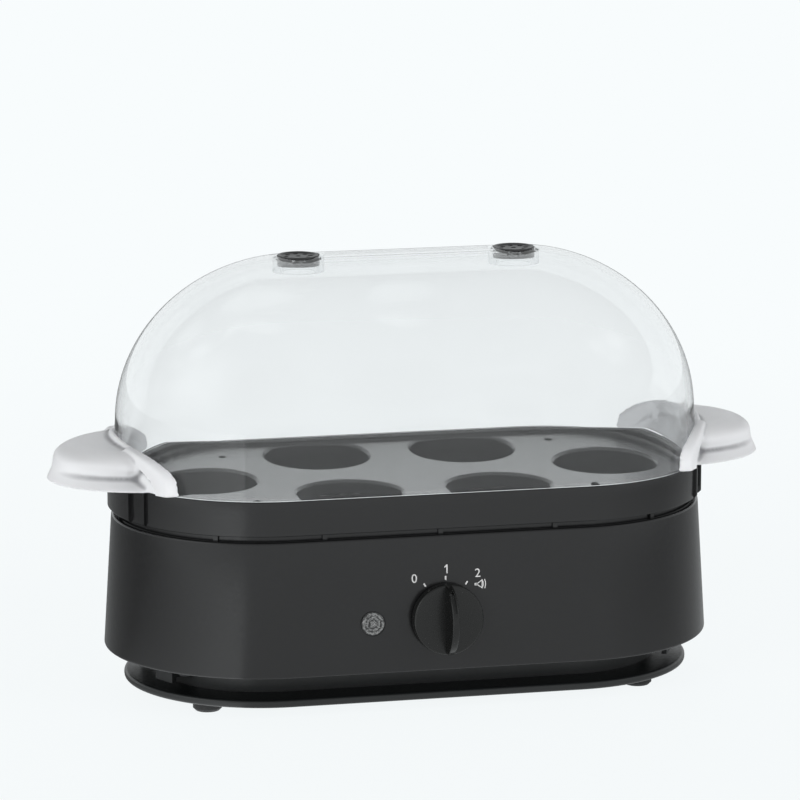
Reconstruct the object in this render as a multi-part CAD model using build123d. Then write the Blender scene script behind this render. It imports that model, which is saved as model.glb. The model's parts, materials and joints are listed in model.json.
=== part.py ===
from build123d import *
import os
from math import atan2, cos, degrees, pi, radians, sin

# Electric egg cooker for six eggs, in millimetres, +Z up.
# The plan of the body, tray and lid is one stadium: two half circles joined by straight sides.
# It is modelled about the middle of that stadium, with the feet on z = 0 and the front at -Y,
# and moved at the end so that the origin lies under the middle of everything, knob included.

# Plan shape
straight_half = 49.7
rim_radius = 51.0
body_flare = 2.8

# Heights, from the table upwards
foot_height = 4.3
base_plate_thickness = 2.8
recess_height = 8.7
body_height = 45.3
seam_gap = 2.0
band_height = 11.7

# Body shell
body_wall = 2.2
ledge_thickness = 2.0
ledge_drop = 6.0
ledge_width = 5.2
seam_chamfer = 0.8
body_edge_round = 1.0
boss_radius = 3.5
boss_inset = 4.8
boss_angle = 45.0

# Floor with the cord-winding drum below it
floor_thickness = 2.0
recess_depth = 17.8
drum_wall = 2.2
drum_boss_radius = 4.0
drum_boss_inset = 7.5
hook_width = 9.0
hook_length = 6.5
hook_thickness = 1.8
hook_angle = 27.0

# Base plate and feet
base_plate_inset = 6.7
base_plate_round = 1.1
foot_radius = 4.9
foot_chamfer = 0.9
foot_pin_radius = 2.4
foot_pin_height = 2.0
foot_inset = 11.0
foot_angle = 47.25

# Cord inlet bush at the back of the drum
gland_x = 20.0
gland_radius = 3.7
gland_flange_radius = 4.2
gland_flange_thickness = 1.2
gland_bore_radius = 3.0

# Heating dish and what hangs under it
seal_thickness = 1.2
seal_margin = 0.6
dish_sheet = 0.8
dish_flange_margin = 1.4
well_clearance = 1.3
dish_well_depth = 10.3
dish_well_slope = 8.0
pan_inset = 3.5
dish_pan_depth = 1.5
spreader_inset = 2.0
spreader_thickness = 2.0
element_inset = 6.5
element_tube_radius = 3.3
element_flat = 0.4
element_gap_angle = 36.0
element_leg = 9.0
stud_radius = 2.0
clamp_width = 11.0
clamp_thickness = 1.5
clamp_post_from_ring = 6.2
clamp_post_radius = 3.5
clamp_end = 5.0
clamp_nut_radius = 3.9
clamp_nut_height = 3.2
thermostat_radius = 7.0
thermostat_height = 6.0
thermostat_gap = 1.5
thermostat_flange = 1.2
fuse_radius = 2.0
fuse_length = 11.0
fuse_y = 13.0
clip_sheet = 0.8
blade_width = 4.8
blade_thickness = 0.8
blade_length = 6.5
blade_pitch = 7.6

# Egg tray
tray_wall = 1.8
skirt_gap = 0.5
skirt_clearance_above_dish = 0.9
deck_thickness = 1.8
deck_drop = 2.8
deck_border_step = 0.8
deck_border_width = 3.0
seat_radius = 17.75
seat_margin = 1.65
seat_collar_wall = 1.6
seat_collar_depth = 4.0
seat_chamfer = 0.7
steam_hole_radius = 1.5
steam_hole_inset = 7.8
steam_hole_x = 5.0
steam_hole_end_from_cap = 8.0
steam_hole_end_y = 30.0
rest_rib_thickness = 1.6
rest_rib_setback = 0.3
rest_rib_angle = 60.0
rest_rib_x = 39.0
tab_proud = 1.1
tab_half_angle = 20.0
tab_chamfer = 1.2
tab_rib_angle = 29.0
tab_rib_width = 1.0

# Lid
lid_wall = 1.8
lid_rim_height = 1.2
lid_lip_gap = 0.4
lid_lip_wall = 1.4
lid_lip_depth = 1.2
lid_foot_inset = 0.1
arch_inset = 1.7
arch_start = 17.3
arch_height = 55.5
crest_inset = 11.4
vent_inset = 1.2
vent_radius = 7.1
vent_collar_wall = 1.5
vent_collar_depth = 6.0
vent_insert_height = 4.0
vent_gap = 0.05
vent_hole_radius = 0.9
vent_hole_ring = 4.2
vent_hole_count = 8
vent_round = 0.4

# Lid handles
visor_inset = 12.0
visor_length = 34.0
visor_half_width = 28.6
visor_height = 12.2
visor_bead_height = 5.2
visor_bead_steps = 4
visor_tip_round = 9.5
visor_side_round = 6.0
visor_skirt_height = 5.6
visor_pinch = 3.2
visor_tip_pinch = 1.4
visor_bulge = 0.6
visor_wall = 4.5
visor_roof = 3.0
visor_root_wall = 2.2
collar_half_width = 37.1
collar_shoulder = 11.3
collar_peak = 15.6
collar_corner = 5.0
collar_drop = 5.0
collar_thickness = 1.8

# Control panel: rotary knob and pilot lamp, square to the sloping front
knob_x = 1.0
knob_height = 33.4
knob_radius = 11.8
knob_disc = 4.0
knob_gap = 0.5
knob_chamfer = 0.8
fin_height = 10.2
fin_thickness = 2.6
fin_inset = 0.3
fin_edge_round = 0.6
fin_root_round = 1.4
pointer_width = 0.9
pointer_depth = 0.4
pointer_length = 7.0
knob_stem_radius = 4.2
knob_stem_length = 7.2
knob_stem_gap = 0.35
shaft_radius = 2.0
shaft_flat = 1.45
shaft_grip = 6.0
shaft_reach = 7.0
shaft_fit = 0.05
switch_standoff = 5.6
switch_size = 17.0
switch_depth = 9.0
switch_round = 1.5
switch_ear = 13.2
switch_ear_thickness = 1.6
switch_boss_radius = 2.6
lamp_x = -23.8
lamp_height = 32.8
lens_radius = 3.85
lens_proud = 0.9
lens_round = 0.5
lens_stem_radius = 3.0
lens_stem_length = 5.0
neon_radius = 2.1
neon_length = 11.0
neon_round = 1.6
neon_lead_radius = 0.3
neon_lead_length = 4.0
lamp_holder_wall = 1.2

# Electrical parts on the floor of the body
board_from_end = 51.5
board_length = 44.0
board_width = 34.0
board_thickness = 1.6
board_standoff = 4.0
board_post_margin = 4.0
buzzer_from_middle = -6.0
buzzer_radius = 8.5
buzzer_height = 7.0
buzzer_round = 0.8
sound_hole_radius = 1.2
sound_hole_depth = 2.0
capacitor_from_middle = 9.0
capacitor_y = -10.0
capacitor_length = 13.0
capacitor_width = 6.0
capacitor_height = 8.0
resistor_from_middle = 10.0
resistor_rows = (7.0, 12.0)
resistor_radius = 1.6
resistor_length = 9.0
resistor_lift = 1.5
terminal_from_end = 51.5
terminal_pitch = 9.0
terminal_poles = 3
terminal_depth = 15.0
terminal_height = 11.0
terminal_base_height = 6.6
terminal_tower_width = 7.2
terminal_well_radius = 1.8
terminal_way_radius = 1.5
terminal_way_height = 4.4

# Screws, and the clearances that repeat
screw_radius = 1.5
screw_head_radius = 2.8
screw_head_height = 2.0
screw_length = 9.0
small_screw_radius = 1.1
small_screw_head_radius = 2.2
small_screw_head_height = 1.4
small_screw_length = 6.0
head_round_share = 0.4
screw_gap = 0.05
fit_gap = 0.3
cut_past = 1.0

# Levels and sizes that follow from those above
base_plate_z = foot_height
recess_z = base_plate_z + base_plate_thickness
body_z = recess_z + recess_height
seam_z = body_z + body_height
band_z = seam_z + seam_gap
rim_z = band_z + band_height
arch_z = rim_z + arch_start
crest_z = arch_z + arch_height

body_radius = rim_radius + body_flare
panel_tilt = degrees(atan2(body_flare, body_height))
floor_top = body_z + floor_thickness
ledge_z = seam_z - ledge_drop
pocket_radius = rim_radius - body_wall
ledge_radius = pocket_radius - ledge_width
drum_radius = body_radius - recess_depth
base_plate_radius = body_radius - base_plate_inset
boss_radius_from_centre = rim_radius - boss_inset

dish_flange_z = ledge_z + seal_thickness
dish_flange_top = dish_flange_z + dish_sheet
dish_flange_radius = pocket_radius - dish_flange_margin
dish_well_radius = ledge_radius - well_clearance - dish_sheet
dish_pan_radius = dish_well_radius - pan_inset
spreader_radius = dish_pan_radius - spreader_inset
element_ring_radius = spreader_radius - element_inset
inside_ring = element_ring_radius - element_tube_radius
clamp_post_x = inside_ring - clamp_post_from_ring
thermostat_y = inside_ring - thermostat_radius - thermostat_flange - thermostat_gap
dish_floor_z = dish_flange_top - dish_well_depth
pan_floor_z = dish_floor_z - dish_pan_depth
spreader_top = pan_floor_z - dish_sheet
spreader_z = spreader_top - spreader_thickness
element_axis_z = spreader_z - element_tube_radius + element_flat
element_bottom_z = element_axis_z - element_tube_radius
clamp_z = element_bottom_z - clamp_thickness

skirt_radius = pocket_radius - skirt_gap
skirt_z = dish_flange_top + skirt_clearance_above_dish
deck_top = rim_z - deck_drop
deck_z = deck_top - deck_thickness
band_inner_radius = rim_radius - tray_wall
seat_reach = skirt_radius - tray_wall - seat_collar_wall - seat_margin
seat_pitch = 2 * (seat_reach - seat_radius)

lip_radius = band_inner_radius - lid_lip_gap
arch_radius = rim_radius - arch_inset
crest_half = straight_half - crest_inset
vent_x = crest_half - vent_inset
visor_centre = straight_half + rim_radius - visor_inset

board_x = straight_half + body_radius - board_from_end
terminal_x = terminal_from_end - straight_half - body_radius

panel_depth = knob_disc + knob_gap
knob_total = panel_depth + fin_height
switch_face = -(body_wall + switch_standoff)
front_at_knob = rim_radius + body_flare * (seam_z - knob_height) / body_height
knob_reach = front_at_knob + knob_total * cos(radians(panel_tilt))
origin_shift = (knob_reach - body_radius) / 2

BASE = (Align.CENTER, Align.CENTER, Align.MIN)


def stadium(radius, half_length=straight_half):
    """Flat outline: two half circles of one radius joined by straight sides."""
    return SlotCenterToCenter(2 * half_length, 2 * radius)


def prism(radius, low, high, half_length=straight_half):
    """Upright stadium block between two levels."""
    return Pos(0, 0, low) * extrude(stadium(radius, half_length), high - low)


def ring(outer, inner, low, high):
    """Upright stadium tube between two levels."""
    return prism(outer, low, high) - prism(inner, low - cut_past, high + cut_past)


def rod(radius, low, high):
    """Round bar along local Z."""
    return Pos(0, 0, low) * Cylinder(radius, high - low, align=BASE)


def block(length, width, low, high):
    """Square-edged bar along local Z."""
    return Pos(0, 0, low) * Box(length, width, high - low, align=BASE)


def panel(x, height):
    """Frame on the sloping front face, local Z outwards and local Y up."""
    front = rim_radius + body_flare * (seam_z - height) / body_height
    tilt = radians(panel_tilt)
    return Plane(origin=(x, -front, height), x_dir=(1, 0, 0), z_dir=(0, -cos(tilt), sin(tilt))).location


def cap_place(side, angle, radius, z=0):
    """Frame on an end cap, local X pointing away from the cap's centre; side is 1 or -1."""
    turn = angle if side > 0 else 180 - angle
    return Pos(side * straight_half, 0, z) * Rot(0, 0, turn) * Pos(radius, 0, 0)


def corner_places(angle, radius, z=0):
    """The four places that mirror each other at one angle on the two end caps."""
    return [cap_place(side, turn, radius, z) for side in (-1, 1) for turn in (-angle, angle)]


def foot_places():
    """Name and place of each foot."""
    names = [f"foot_{row}_{column}" for column in ("left", "right") for row in ("front", "rear")]
    places = corner_places(foot_angle, base_plate_radius - foot_inset)
    return {name: Pos(place.position) for name, place in zip(names, places)}


def screw(radius, head_radius, head_height, length):
    """Pan-head screw standing on its head: head below z = 0, shank up to its length."""
    head = rod(head_radius, -head_height, 0)
    head = fillet(head.edges().sort_by(Axis.Z)[0], head_height * head_round_share)
    return head + rod(radius, 0, length)


# Body

def body_boss_places(z=0):
    """Places of the posts under the ledge that the floor is screwed to."""
    return corner_places(boss_angle, boss_radius_from_centre, z)


def drum_boss_places(z=0):
    """Places of the posts in the drum that the base plate is screwed to."""
    return corner_places(boss_angle, drum_radius - drum_boss_inset, z)


def switch_ear_places():
    """Frames of the two fixing screws of the rotary switch, on the panel's own frame."""
    return [panel(knob_x, knob_height) * Pos(x, 0, 0) for x in (-switch_ear, switch_ear)]


def body_shell():
    """Flared outer shell with its dish ledge, screw posts and panel holes."""
    shell = Pos(0, 0, body_z) * extrude(stadium(body_radius), body_height, taper=panel_tilt)
    shell = chamfer(shell.faces().sort_by(Axis.Z)[-1].edges(), seam_chamfer)
    shell = fillet(shell.faces().sort_by(Axis.Z)[0].edges(), body_edge_round)
    inner_height = ledge_z - ledge_thickness - body_z
    shell -= Pos(0, 0, body_z) * extrude(stadium(body_radius - body_wall), inner_height, taper=panel_tilt)
    shell -= prism(ledge_radius, body_z, seam_z)
    shell -= prism(pocket_radius, ledge_z, seam_z + cut_past)
    for place in body_boss_places():
        shell += place * rod(boss_radius, floor_top, ledge_z)
        shell -= place * rod(screw_radius + screw_gap, floor_top - cut_past, floor_top + screw_length)
    for place in switch_ear_places():
        shell += place * rod(switch_boss_radius, switch_face, -body_wall / 2)
        shell -= place * rod(small_screw_radius + screw_gap, switch_face - cut_past, -body_wall / 2)
    stem_hole = rod(knob_stem_radius + knob_stem_gap, -body_wall - switch_standoff, cut_past)
    shell -= panel(knob_x, knob_height) * stem_hole
    shell -= panel(lamp_x, lamp_height) * rod(lens_stem_radius + screw_gap, -body_wall - cut_past, cut_past)
    return shell


def winding_drum():
    """Floor of the body in one moulding with the drum that the cord is wound on."""
    floor_radius = body_radius - body_wall - fit_gap
    drum = Pos(0, 0, body_z) * extrude(stadium(floor_radius), floor_thickness, taper=panel_tilt)
    drum += ring(drum_radius, drum_radius - drum_wall, recess_z, body_z)
    for place in drum_boss_places():
        drum += place * rod(drum_boss_radius, recess_z, body_z)
        drum -= place * rod(screw_radius + screw_gap, recess_z - cut_past, recess_z + screw_length)
    for place in body_boss_places():
        drum -= place * rod(screw_radius + fit_gap, body_z - cut_past, floor_top + cut_past)
    for place in corner_places(hook_angle, drum_radius, (recess_z + body_z) / 2):
        drum += place * cord_hook()
    drum -= gland_place() * rod(gland_radius + screw_gap, -drum_wall - cut_past, cut_past)
    for place in clamp_post_places():
        drum += place * rod(clamp_post_radius, floor_top, clamp_z)
        drum -= place * rod(small_screw_radius + screw_gap, clamp_z - small_screw_length, clamp_z + cut_past)
    for x in board_post_x():
        drum += Pos(x, 0, 0) * rod(switch_boss_radius, floor_top, board_z())
        drum -= Pos(x, 0, 0) * rod(small_screw_radius + screw_gap, floor_top, board_z() + cut_past)
    return drum


def cord_hook():
    """Lug that stands out from the drum, with its tip turned down to keep the turns in."""
    arm = Pos((hook_length - drum_wall) / 2, 0, 0) * Box(hook_length + drum_wall, hook_width, hook_thickness)
    tip = Box(hook_thickness, hook_width, hook_thickness)
    return arm + Pos(hook_length - hook_thickness / 2, 0, -hook_thickness) * tip


def base_plate():
    """Flat plate under the drum with rounded edges, foot sockets and screw holes."""
    plate = prism(base_plate_radius, base_plate_z, recess_z)
    rims = plate.faces().sort_by(Axis.Z)
    plate = fillet(rims[0].edges() + rims[-1].edges(), base_plate_round)
    for place in drum_boss_places():
        plate -= place * rod(screw_radius + fit_gap, base_plate_z - cut_past, recess_z + cut_past)
        plate -= place * rod(screw_head_radius + fit_gap, base_plate_z - cut_past, base_plate_head_z())
    socket = rod(foot_pin_radius + screw_gap, base_plate_z - cut_past, base_plate_z + foot_pin_height)
    for place in foot_places().values():
        plate -= place * socket
    return plate


def base_plate_head_z():
    """Level where the heads of the base plate's screws seat."""
    return base_plate_z + base_plate_thickness / 2


def foot():
    """Rubber foot with a chamfered sole and a pin into the base plate."""
    pad = rod(foot_radius, 0, foot_height)
    pad = chamfer(pad.edges().sort_by(Axis.Z)[0], foot_chamfer)
    return pad + rod(foot_pin_radius, foot_height, foot_height + foot_pin_height - screw_gap)


def base_screws():
    """Four screws from below through the base plate into the drum."""
    one = screw(screw_radius, screw_head_radius, base_plate_thickness / 2, screw_length)
    return [place * one for place in drum_boss_places(base_plate_head_z())]


def body_screws():
    """Four screws from the recess through the floor into the body's posts."""
    one = screw(screw_radius, screw_head_radius, screw_head_height, screw_length)
    return [place * one for place in body_boss_places(body_z)]


def gland_place():
    """Frame on the back of the drum, local Z pointing out of it."""
    middle = (recess_z + body_z) / 2
    return Plane(origin=(gland_x, drum_radius, middle), x_dir=(1, 0, 0), z_dir=(0, 1, 0)).location


def cord_gland():
    """Bush with flanges inside and outside the drum wall and an open bore for a cord."""
    bush = rod(gland_radius, -drum_wall, 0)
    bush += rod(gland_flange_radius, 0, gland_flange_thickness)
    bush += rod(gland_flange_radius, -drum_wall - gland_flange_thickness, -drum_wall)
    bush -= rod(gland_bore_radius, -drum_wall - 2 * gland_flange_thickness, 2 * gland_flange_thickness)
    return gland_place() * bush


# Heating dish and its heater

def dish_well(grow):
    """Solid inside the dish, grown by the sheet on the outside."""
    depth = dish_flange_top - dish_floor_z + grow
    well = extrude(stadium(dish_well_radius + grow), -depth, taper=dish_well_slope)
    pan = rod(dish_pan_radius - dish_sheet + grow, pan_floor_z - grow, dish_floor_z)
    return Pos(0, 0, dish_flange_top) * well + pan


def heating_dish():
    """Pressed steel dish: flange on the seal, sloping wall and a round sunk pan over the heater."""
    dish = prism(dish_flange_radius, dish_flange_z, dish_flange_top) + dish_well(dish_sheet)
    dish = dish - dish_well(0)
    stud_low = clamp_z - clamp_nut_height
    return dish + rod(stud_radius, stud_low, spreader_top)


def dish_seal():
    """Flat silicone seal between the dish's flange and the ledge."""
    outer = pocket_radius - seal_margin
    inner = dish_well_radius + dish_sheet + fit_gap
    return ring(outer, inner, ledge_z, dish_flange_z)


def heat_spreader():
    """Aluminium disc under the pan, drilled for the stud."""
    return rod(spreader_radius, spreader_z, spreader_top) - rod(
        stud_radius + fit_gap, spreader_z - cut_past, spreader_top + cut_past
    )


def heating_element():
    """Open ring of flattened tube with both ends turned down to their terminals."""
    section = Pos(element_ring_radius, 0) * (
        Circle(element_tube_radius)
        - Pos(0, element_tube_radius) * Rectangle(2 * element_tube_radius, 2 * element_flat)
    )
    face = Plane.XZ * section
    sweep_angle = 360 - element_gap_angle
    ring_tube = Rot(0, 0, element_gap_angle / 2) * revolve(face, Axis.Z, sweep_angle)
    tube = Pos(0, 0, element_axis_z) * ring_tube
    for angle in (-element_gap_angle / 2, element_gap_angle / 2):
        end = Rot(0, 0, angle) * Pos(element_ring_radius, 0, element_axis_z)
        tube += end * Sphere(element_tube_radius - element_flat)
        tube += end * rod(element_tube_radius - element_flat, -element_leg, 0)
        tube += end * block(blade_width, blade_thickness, -element_leg - blade_length, -element_leg)
    return tube


def clamp_post_places():
    """Places of the two floor posts that the clamp bar is screwed to."""
    return [Pos(x, 0, 0) for x in (-clamp_post_x, clamp_post_x)]


def dish_clamp():
    """Steel bar screwed to the floor's posts; the dish's stud is pulled down through it."""
    half = clamp_post_x + clamp_end
    outline = RectangleRounded(2 * half, clamp_width, clamp_end / 2)
    bar = Pos(0, 0, clamp_z) * extrude(outline, clamp_thickness)
    bar -= rod(stud_radius + screw_gap, clamp_z - cut_past, element_bottom_z + cut_past)
    for place in clamp_post_places():
        bar -= place * rod(small_screw_radius + screw_gap, clamp_z - cut_past, element_bottom_z + cut_past)
    return bar


def clamp_screws():
    """Two screws through the clamp bar into the posts."""
    one = screw(small_screw_radius, small_screw_head_radius, small_screw_head_height, small_screw_length)
    return [place * Pos(0, 0, element_bottom_z) * Rot(180, 0, 0) * one for place in clamp_post_places()]


def clamp_nut():
    """Hexagon nut on the dish's stud."""
    nut = extrude(RegularPolygon(clamp_nut_radius, 6), clamp_nut_height)
    return Pos(0, 0, clamp_z - clamp_nut_height) * nut - rod(
        stud_radius + screw_gap, clamp_z - clamp_nut_height - cut_past, clamp_z + cut_past
    )


def thermostat():
    """Snap-disc thermostat pressed against the spreader, with two blade terminals."""
    case = rod(thermostat_radius, spreader_z - thermostat_height, spreader_z)
    case += rod(thermostat_radius + thermostat_flange, spreader_z - thermostat_flange, spreader_z)
    low = spreader_z - thermostat_height
    for x in (-blade_pitch / 2, blade_pitch / 2):
        case += Pos(x, 0, 0) * block(blade_thickness, blade_width, low - blade_length, low)
    return Pos(0, thermostat_y, 0) * case


def fuse_place():
    """Frame on the fuse's axis, local Z along it."""
    return Pos(0, -fuse_y, spreader_z - clip_sheet - screw_gap - fuse_radius) * Rot(0, 90, 0)


def thermal_fuse():
    """Cartridge fuse under the spreader, with a tail at each end."""
    tail = fuse_length / 2 + 2 * fuse_radius
    case = rod(fuse_radius, -fuse_length / 2, fuse_length / 2)
    return fuse_place() * (case + rod(fuse_radius / 3, -tail, tail))


def fuse_clip():
    """Sheet clip that holds the fuse against the spreader."""
    inner = fuse_radius + screw_gap
    half = fuse_length / 4
    band = rod(inner + clip_sheet, -half, half)
    tongue = Pos(-inner - clip_sheet / 2, 0, -half) * Box(clip_sheet, 4 * fuse_radius, 2 * half, align=BASE)
    return fuse_place() * (band + tongue - rod(inner, -fuse_length, fuse_length))


# Control panel

def control_knob():
    """Round knob with a half-round grip fin across it and a stem through the panel."""
    disc = rod(knob_radius, knob_gap, panel_depth)
    disc = chamfer(disc.edges().sort_by(Axis.Z)[-1], knob_chamfer)
    half_chord = knob_radius - fin_inset
    arc_radius = (half_chord**2 + fin_height**2) / (2 * fin_height)
    centre = panel_depth + fin_height - arc_radius
    below = Pos(0, panel_depth - knob_chamfer - 2 * arc_radius) * Rectangle(4 * arc_radius, 4 * arc_radius)
    profile = Pos(0, centre) * Circle(arc_radius) - below
    fin = extrude(Plane.YZ * profile, fin_thickness / 2, both=True)
    fin = fillet(fin.edges().filter_by(GeomType.CIRCLE), fin_edge_round)
    roots = [Pos(side * fin_thickness / 2, 0, panel_depth) * root_round() for side in (-1, 1)]
    knob = disc + fin + roots[0] + roots[1]
    top_angle = degrees(pointer_length / arc_radius)
    slot = Box(pointer_width, pointer_length, 2 * pointer_depth)
    knob -= Pos(0, 0, centre) * Rot(-top_angle, 0, 0) * Pos(0, 0, arc_radius) * slot
    knob += rod(knob_stem_radius, -knob_stem_length, knob_gap + cut_past)
    bore = rod(shaft_radius + shaft_fit, -knob_stem_length - cut_past, -knob_stem_length + shaft_grip)
    flat = Pos(0, shaft_radius + shaft_flat, 0) * block(
        4 * shaft_radius, 2 * shaft_radius, -knob_stem_length - cut_past, -knob_stem_length + shaft_grip
    )
    knob -= bore - flat
    return panel(knob_x, knob_height) * knob


def root_round():
    """Low rounded swelling where the fin rises from the knob's face."""
    swelling = Rot(90, 0, 0) * Cylinder(fin_root_round, 2 * (knob_radius - 3 * fin_root_round))
    return swelling & block(4 * fin_root_round, 2 * knob_radius, -fin_root_round / 2, fin_root_round)


def switch_shaft():
    """Metal shaft with a flat, from the knob's stem into the switch."""
    low = switch_face - shaft_reach
    high = -knob_stem_length + shaft_grip - shaft_fit
    bar = rod(shaft_radius, low, high)
    flat_low = switch_face + fit_gap
    bar -= Pos(0, shaft_radius + shaft_flat - shaft_fit, 0) * block(
        4 * shaft_radius, 2 * shaft_radius, flat_low, high + cut_past
    )
    return panel(knob_x, knob_height) * bar


def rotary_switch():
    """Square switch with two fixing ears, a bore for the shaft and blade terminals."""
    case = block(switch_size, switch_size, switch_face - switch_depth, switch_face)
    case = fillet(case.edges().filter_by(Axis.Z), switch_round)
    ear_half = switch_ear + switch_boss_radius
    case += block(2 * ear_half, 2 * switch_boss_radius, switch_face - switch_ear_thickness, switch_face)
    case -= rod(shaft_radius + shaft_fit, switch_face - shaft_reach - fit_gap, switch_face + cut_past)
    ear_back = switch_face - switch_ear_thickness
    hole = rod(small_screw_radius + screw_gap, ear_back - cut_past, switch_face + cut_past)
    for x in (-switch_ear, switch_ear):
        case -= Pos(x, 0, 0) * hole
    return panel(knob_x, knob_height) * case


def switch_screws():
    """Two screws through the switch's ears into the posts behind the panel."""
    one = screw(small_screw_radius, small_screw_head_radius, small_screw_head_height, small_screw_length)
    seat = switch_face - switch_ear_thickness
    return [place * Pos(0, 0, seat) * one for place in switch_ear_places()]


def indicator_lens():
    """Clear pilot-lamp lens: stepped domed front, stem through the panel."""
    lens = rod(lens_radius, 0, lens_proud)
    lens = fillet(lens.edges().sort_by(Axis.Z)[-1], lens_round)
    lens += rod(lens_stem_radius, -lens_stem_length, 0)
    return panel(lamp_x, lamp_height) * lens


def neon_lamp():
    """Small glow lamp behind the lens with its two lead wires."""
    top = -lens_stem_length - fit_gap
    lamp = rod(neon_radius, top - neon_length, top)
    lamp = fillet(lamp.edges().sort_by(Axis.Z)[-1], neon_round)
    for x in (-neon_radius / 2, neon_radius / 2):
        lamp += Pos(x, 0, 0) * rod(neon_lead_radius, top - neon_length - neon_lead_length, top - neon_length)
    return panel(lamp_x, lamp_height) * lamp


def lamp_holder():
    """Sleeve that pushes over the lens stem and carries the lamp."""
    outer = lens_stem_radius + screw_gap + lamp_holder_wall
    low = -lens_stem_length - neon_length
    sleeve = rod(outer, low, -body_wall)
    sleeve -= rod(lens_stem_radius + screw_gap, -lens_stem_length, 0)
    sleeve -= rod(neon_radius + screw_gap, low - cut_past, 0)
    return panel(lamp_x, lamp_height) * sleeve


# Electrical parts on the floor

def board_post_x():
    """Places along X of the two posts that the circuit board is screwed to."""
    reach = board_length / 2 - board_post_margin
    return (board_x - reach, board_x + reach)


def board_z():
    """Underside of the circuit board."""
    return floor_top + board_standoff


def circuit_board():
    """Board with its suppression capacitor, two resistors and a diode soldered on."""
    low = board_z()
    top = low + board_thickness
    board = Pos(board_x, 0, 0) * block(board_length, board_width, low, top)
    capacitor = block(capacitor_length, capacitor_width, top, top + capacitor_height)
    board += Pos(board_x + capacitor_from_middle, capacitor_y, 0) * capacitor
    resistor = Rot(0, 90, 0) * Cylinder(resistor_radius, resistor_length)
    for y in resistor_rows:
        board += Pos(board_x + resistor_from_middle, y, top + resistor_lift) * resistor
    for x in board_post_x():
        board -= Pos(x, 0, 0) * rod(small_screw_radius + screw_gap, low - cut_past, top + cut_past)
    return board


def buzzer():
    """Round buzzer on the board with its sound hole on top."""
    low = board_z() + board_thickness
    drum = rod(buzzer_radius, low, low + buzzer_height)
    drum = fillet(drum.edges().sort_by(Axis.Z)[-1], buzzer_round)
    top = low + buzzer_height
    drum -= rod(sound_hole_radius, top - sound_hole_depth, top + cut_past)
    return Pos(board_x + buzzer_from_middle, 0, 0) * drum


def board_screws():
    """Two screws through the board into the floor's posts."""
    length = board_thickness + board_standoff - 2 * fit_gap
    one = screw(small_screw_radius, small_screw_head_radius, small_screw_head_height, length)
    top = board_z() + board_thickness
    return [Pos(x, 0, top) * Rot(180, 0, 0) * one for x in board_post_x()]


def terminal_block():
    """Row of moulded terminals, each with its wire way and screw well."""
    low = floor_top
    length = terminal_poles * terminal_pitch
    top = low + terminal_height
    body = Pos(terminal_x, 0, 0) * block(terminal_depth, length, low, low + terminal_base_height)
    tower = block(terminal_depth, terminal_tower_width, low, top)
    well = rod(terminal_well_radius, low + terminal_way_height, top + cut_past)
    way = Rot(0, 90, 0) * Cylinder(terminal_way_radius, terminal_depth + cut_past)
    for index in range(terminal_poles):
        y = (index - (terminal_poles - 1) / 2) * terminal_pitch
        body += Pos(terminal_x, y, 0) * tower
        body -= Pos(terminal_x + terminal_depth / 4, y, 0) * well
        body -= Pos(terminal_x, y, low + terminal_way_height) * way
    return body


# Egg tray

def seat_places():
    """The six egg seats, packed so that neighbours are one pitch apart."""
    half = seat_pitch / 2
    end_x = half + seat_pitch * sin(pi / 3)
    spots = [(x, y) for x in (-half, half) for y in (-half, half)] + [(-end_x, 0), (end_x, 0)]
    return [Pos(x, y, 0) for x, y in spots]


def steam_hole_places():
    """Small holes near the edge of the deck, between the egg seats."""
    reach = skirt_radius - steam_hole_inset
    spots = [(x, y) for x in (-steam_hole_x, steam_hole_x) for y in (-reach, reach)]
    end_x, end_y = straight_half + steam_hole_end_from_cap, steam_hole_end_y
    spots += [(x, y) for x in (-end_x, end_x) for y in (-end_y, end_y)]
    return [Pos(x, y, 0) for x, y in spots]


def rest_rib_places():
    """Places on the tray's skirt where ribs carry it on the body's top edge."""
    turns = (-rest_rib_angle, 0, rest_rib_angle)
    places = [cap_place(side, turn, 0) for side in (-1, 1) for turn in turns]
    for x in (-rest_rib_x, 0, rest_rib_x):
        places += [Pos(x, 0, 0) * Rot(0, 0, turn) for turn in (-90, 90)]
    return places


def grip_tab(side):
    """Grip at one end of the tray: a raised panel with a thin rib beside each edge."""
    outer = rim_radius + tab_proud
    tab = prism(outer, band_z, rim_z)
    tab = chamfer(tab.faces().sort_by(Axis.Z)[0].edges(), tab_chamfer)
    far_x = 2 * outer * cos(radians(tab_half_angle))
    far_y = 2 * outer * sin(radians(tab_half_angle))
    wedge = make_face(Polyline((0, 0), (far_x, -far_y), (far_x, far_y), close=True))
    sector = cap_place(side, 0, 0) * extrude(wedge, rim_z + cut_past)
    tab = (tab & sector) - prism(band_inner_radius, band_z - cut_past, rim_z + cut_past)
    for turn in (-tab_rib_angle, tab_rib_angle):
        tab += cap_place(side, turn, rim_radius - tray_wall / 2) * Pos(tray_wall / 2, 0, 0) * block(
            tray_wall, tab_rib_width, band_z, rim_z
        )
    return tab


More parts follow.
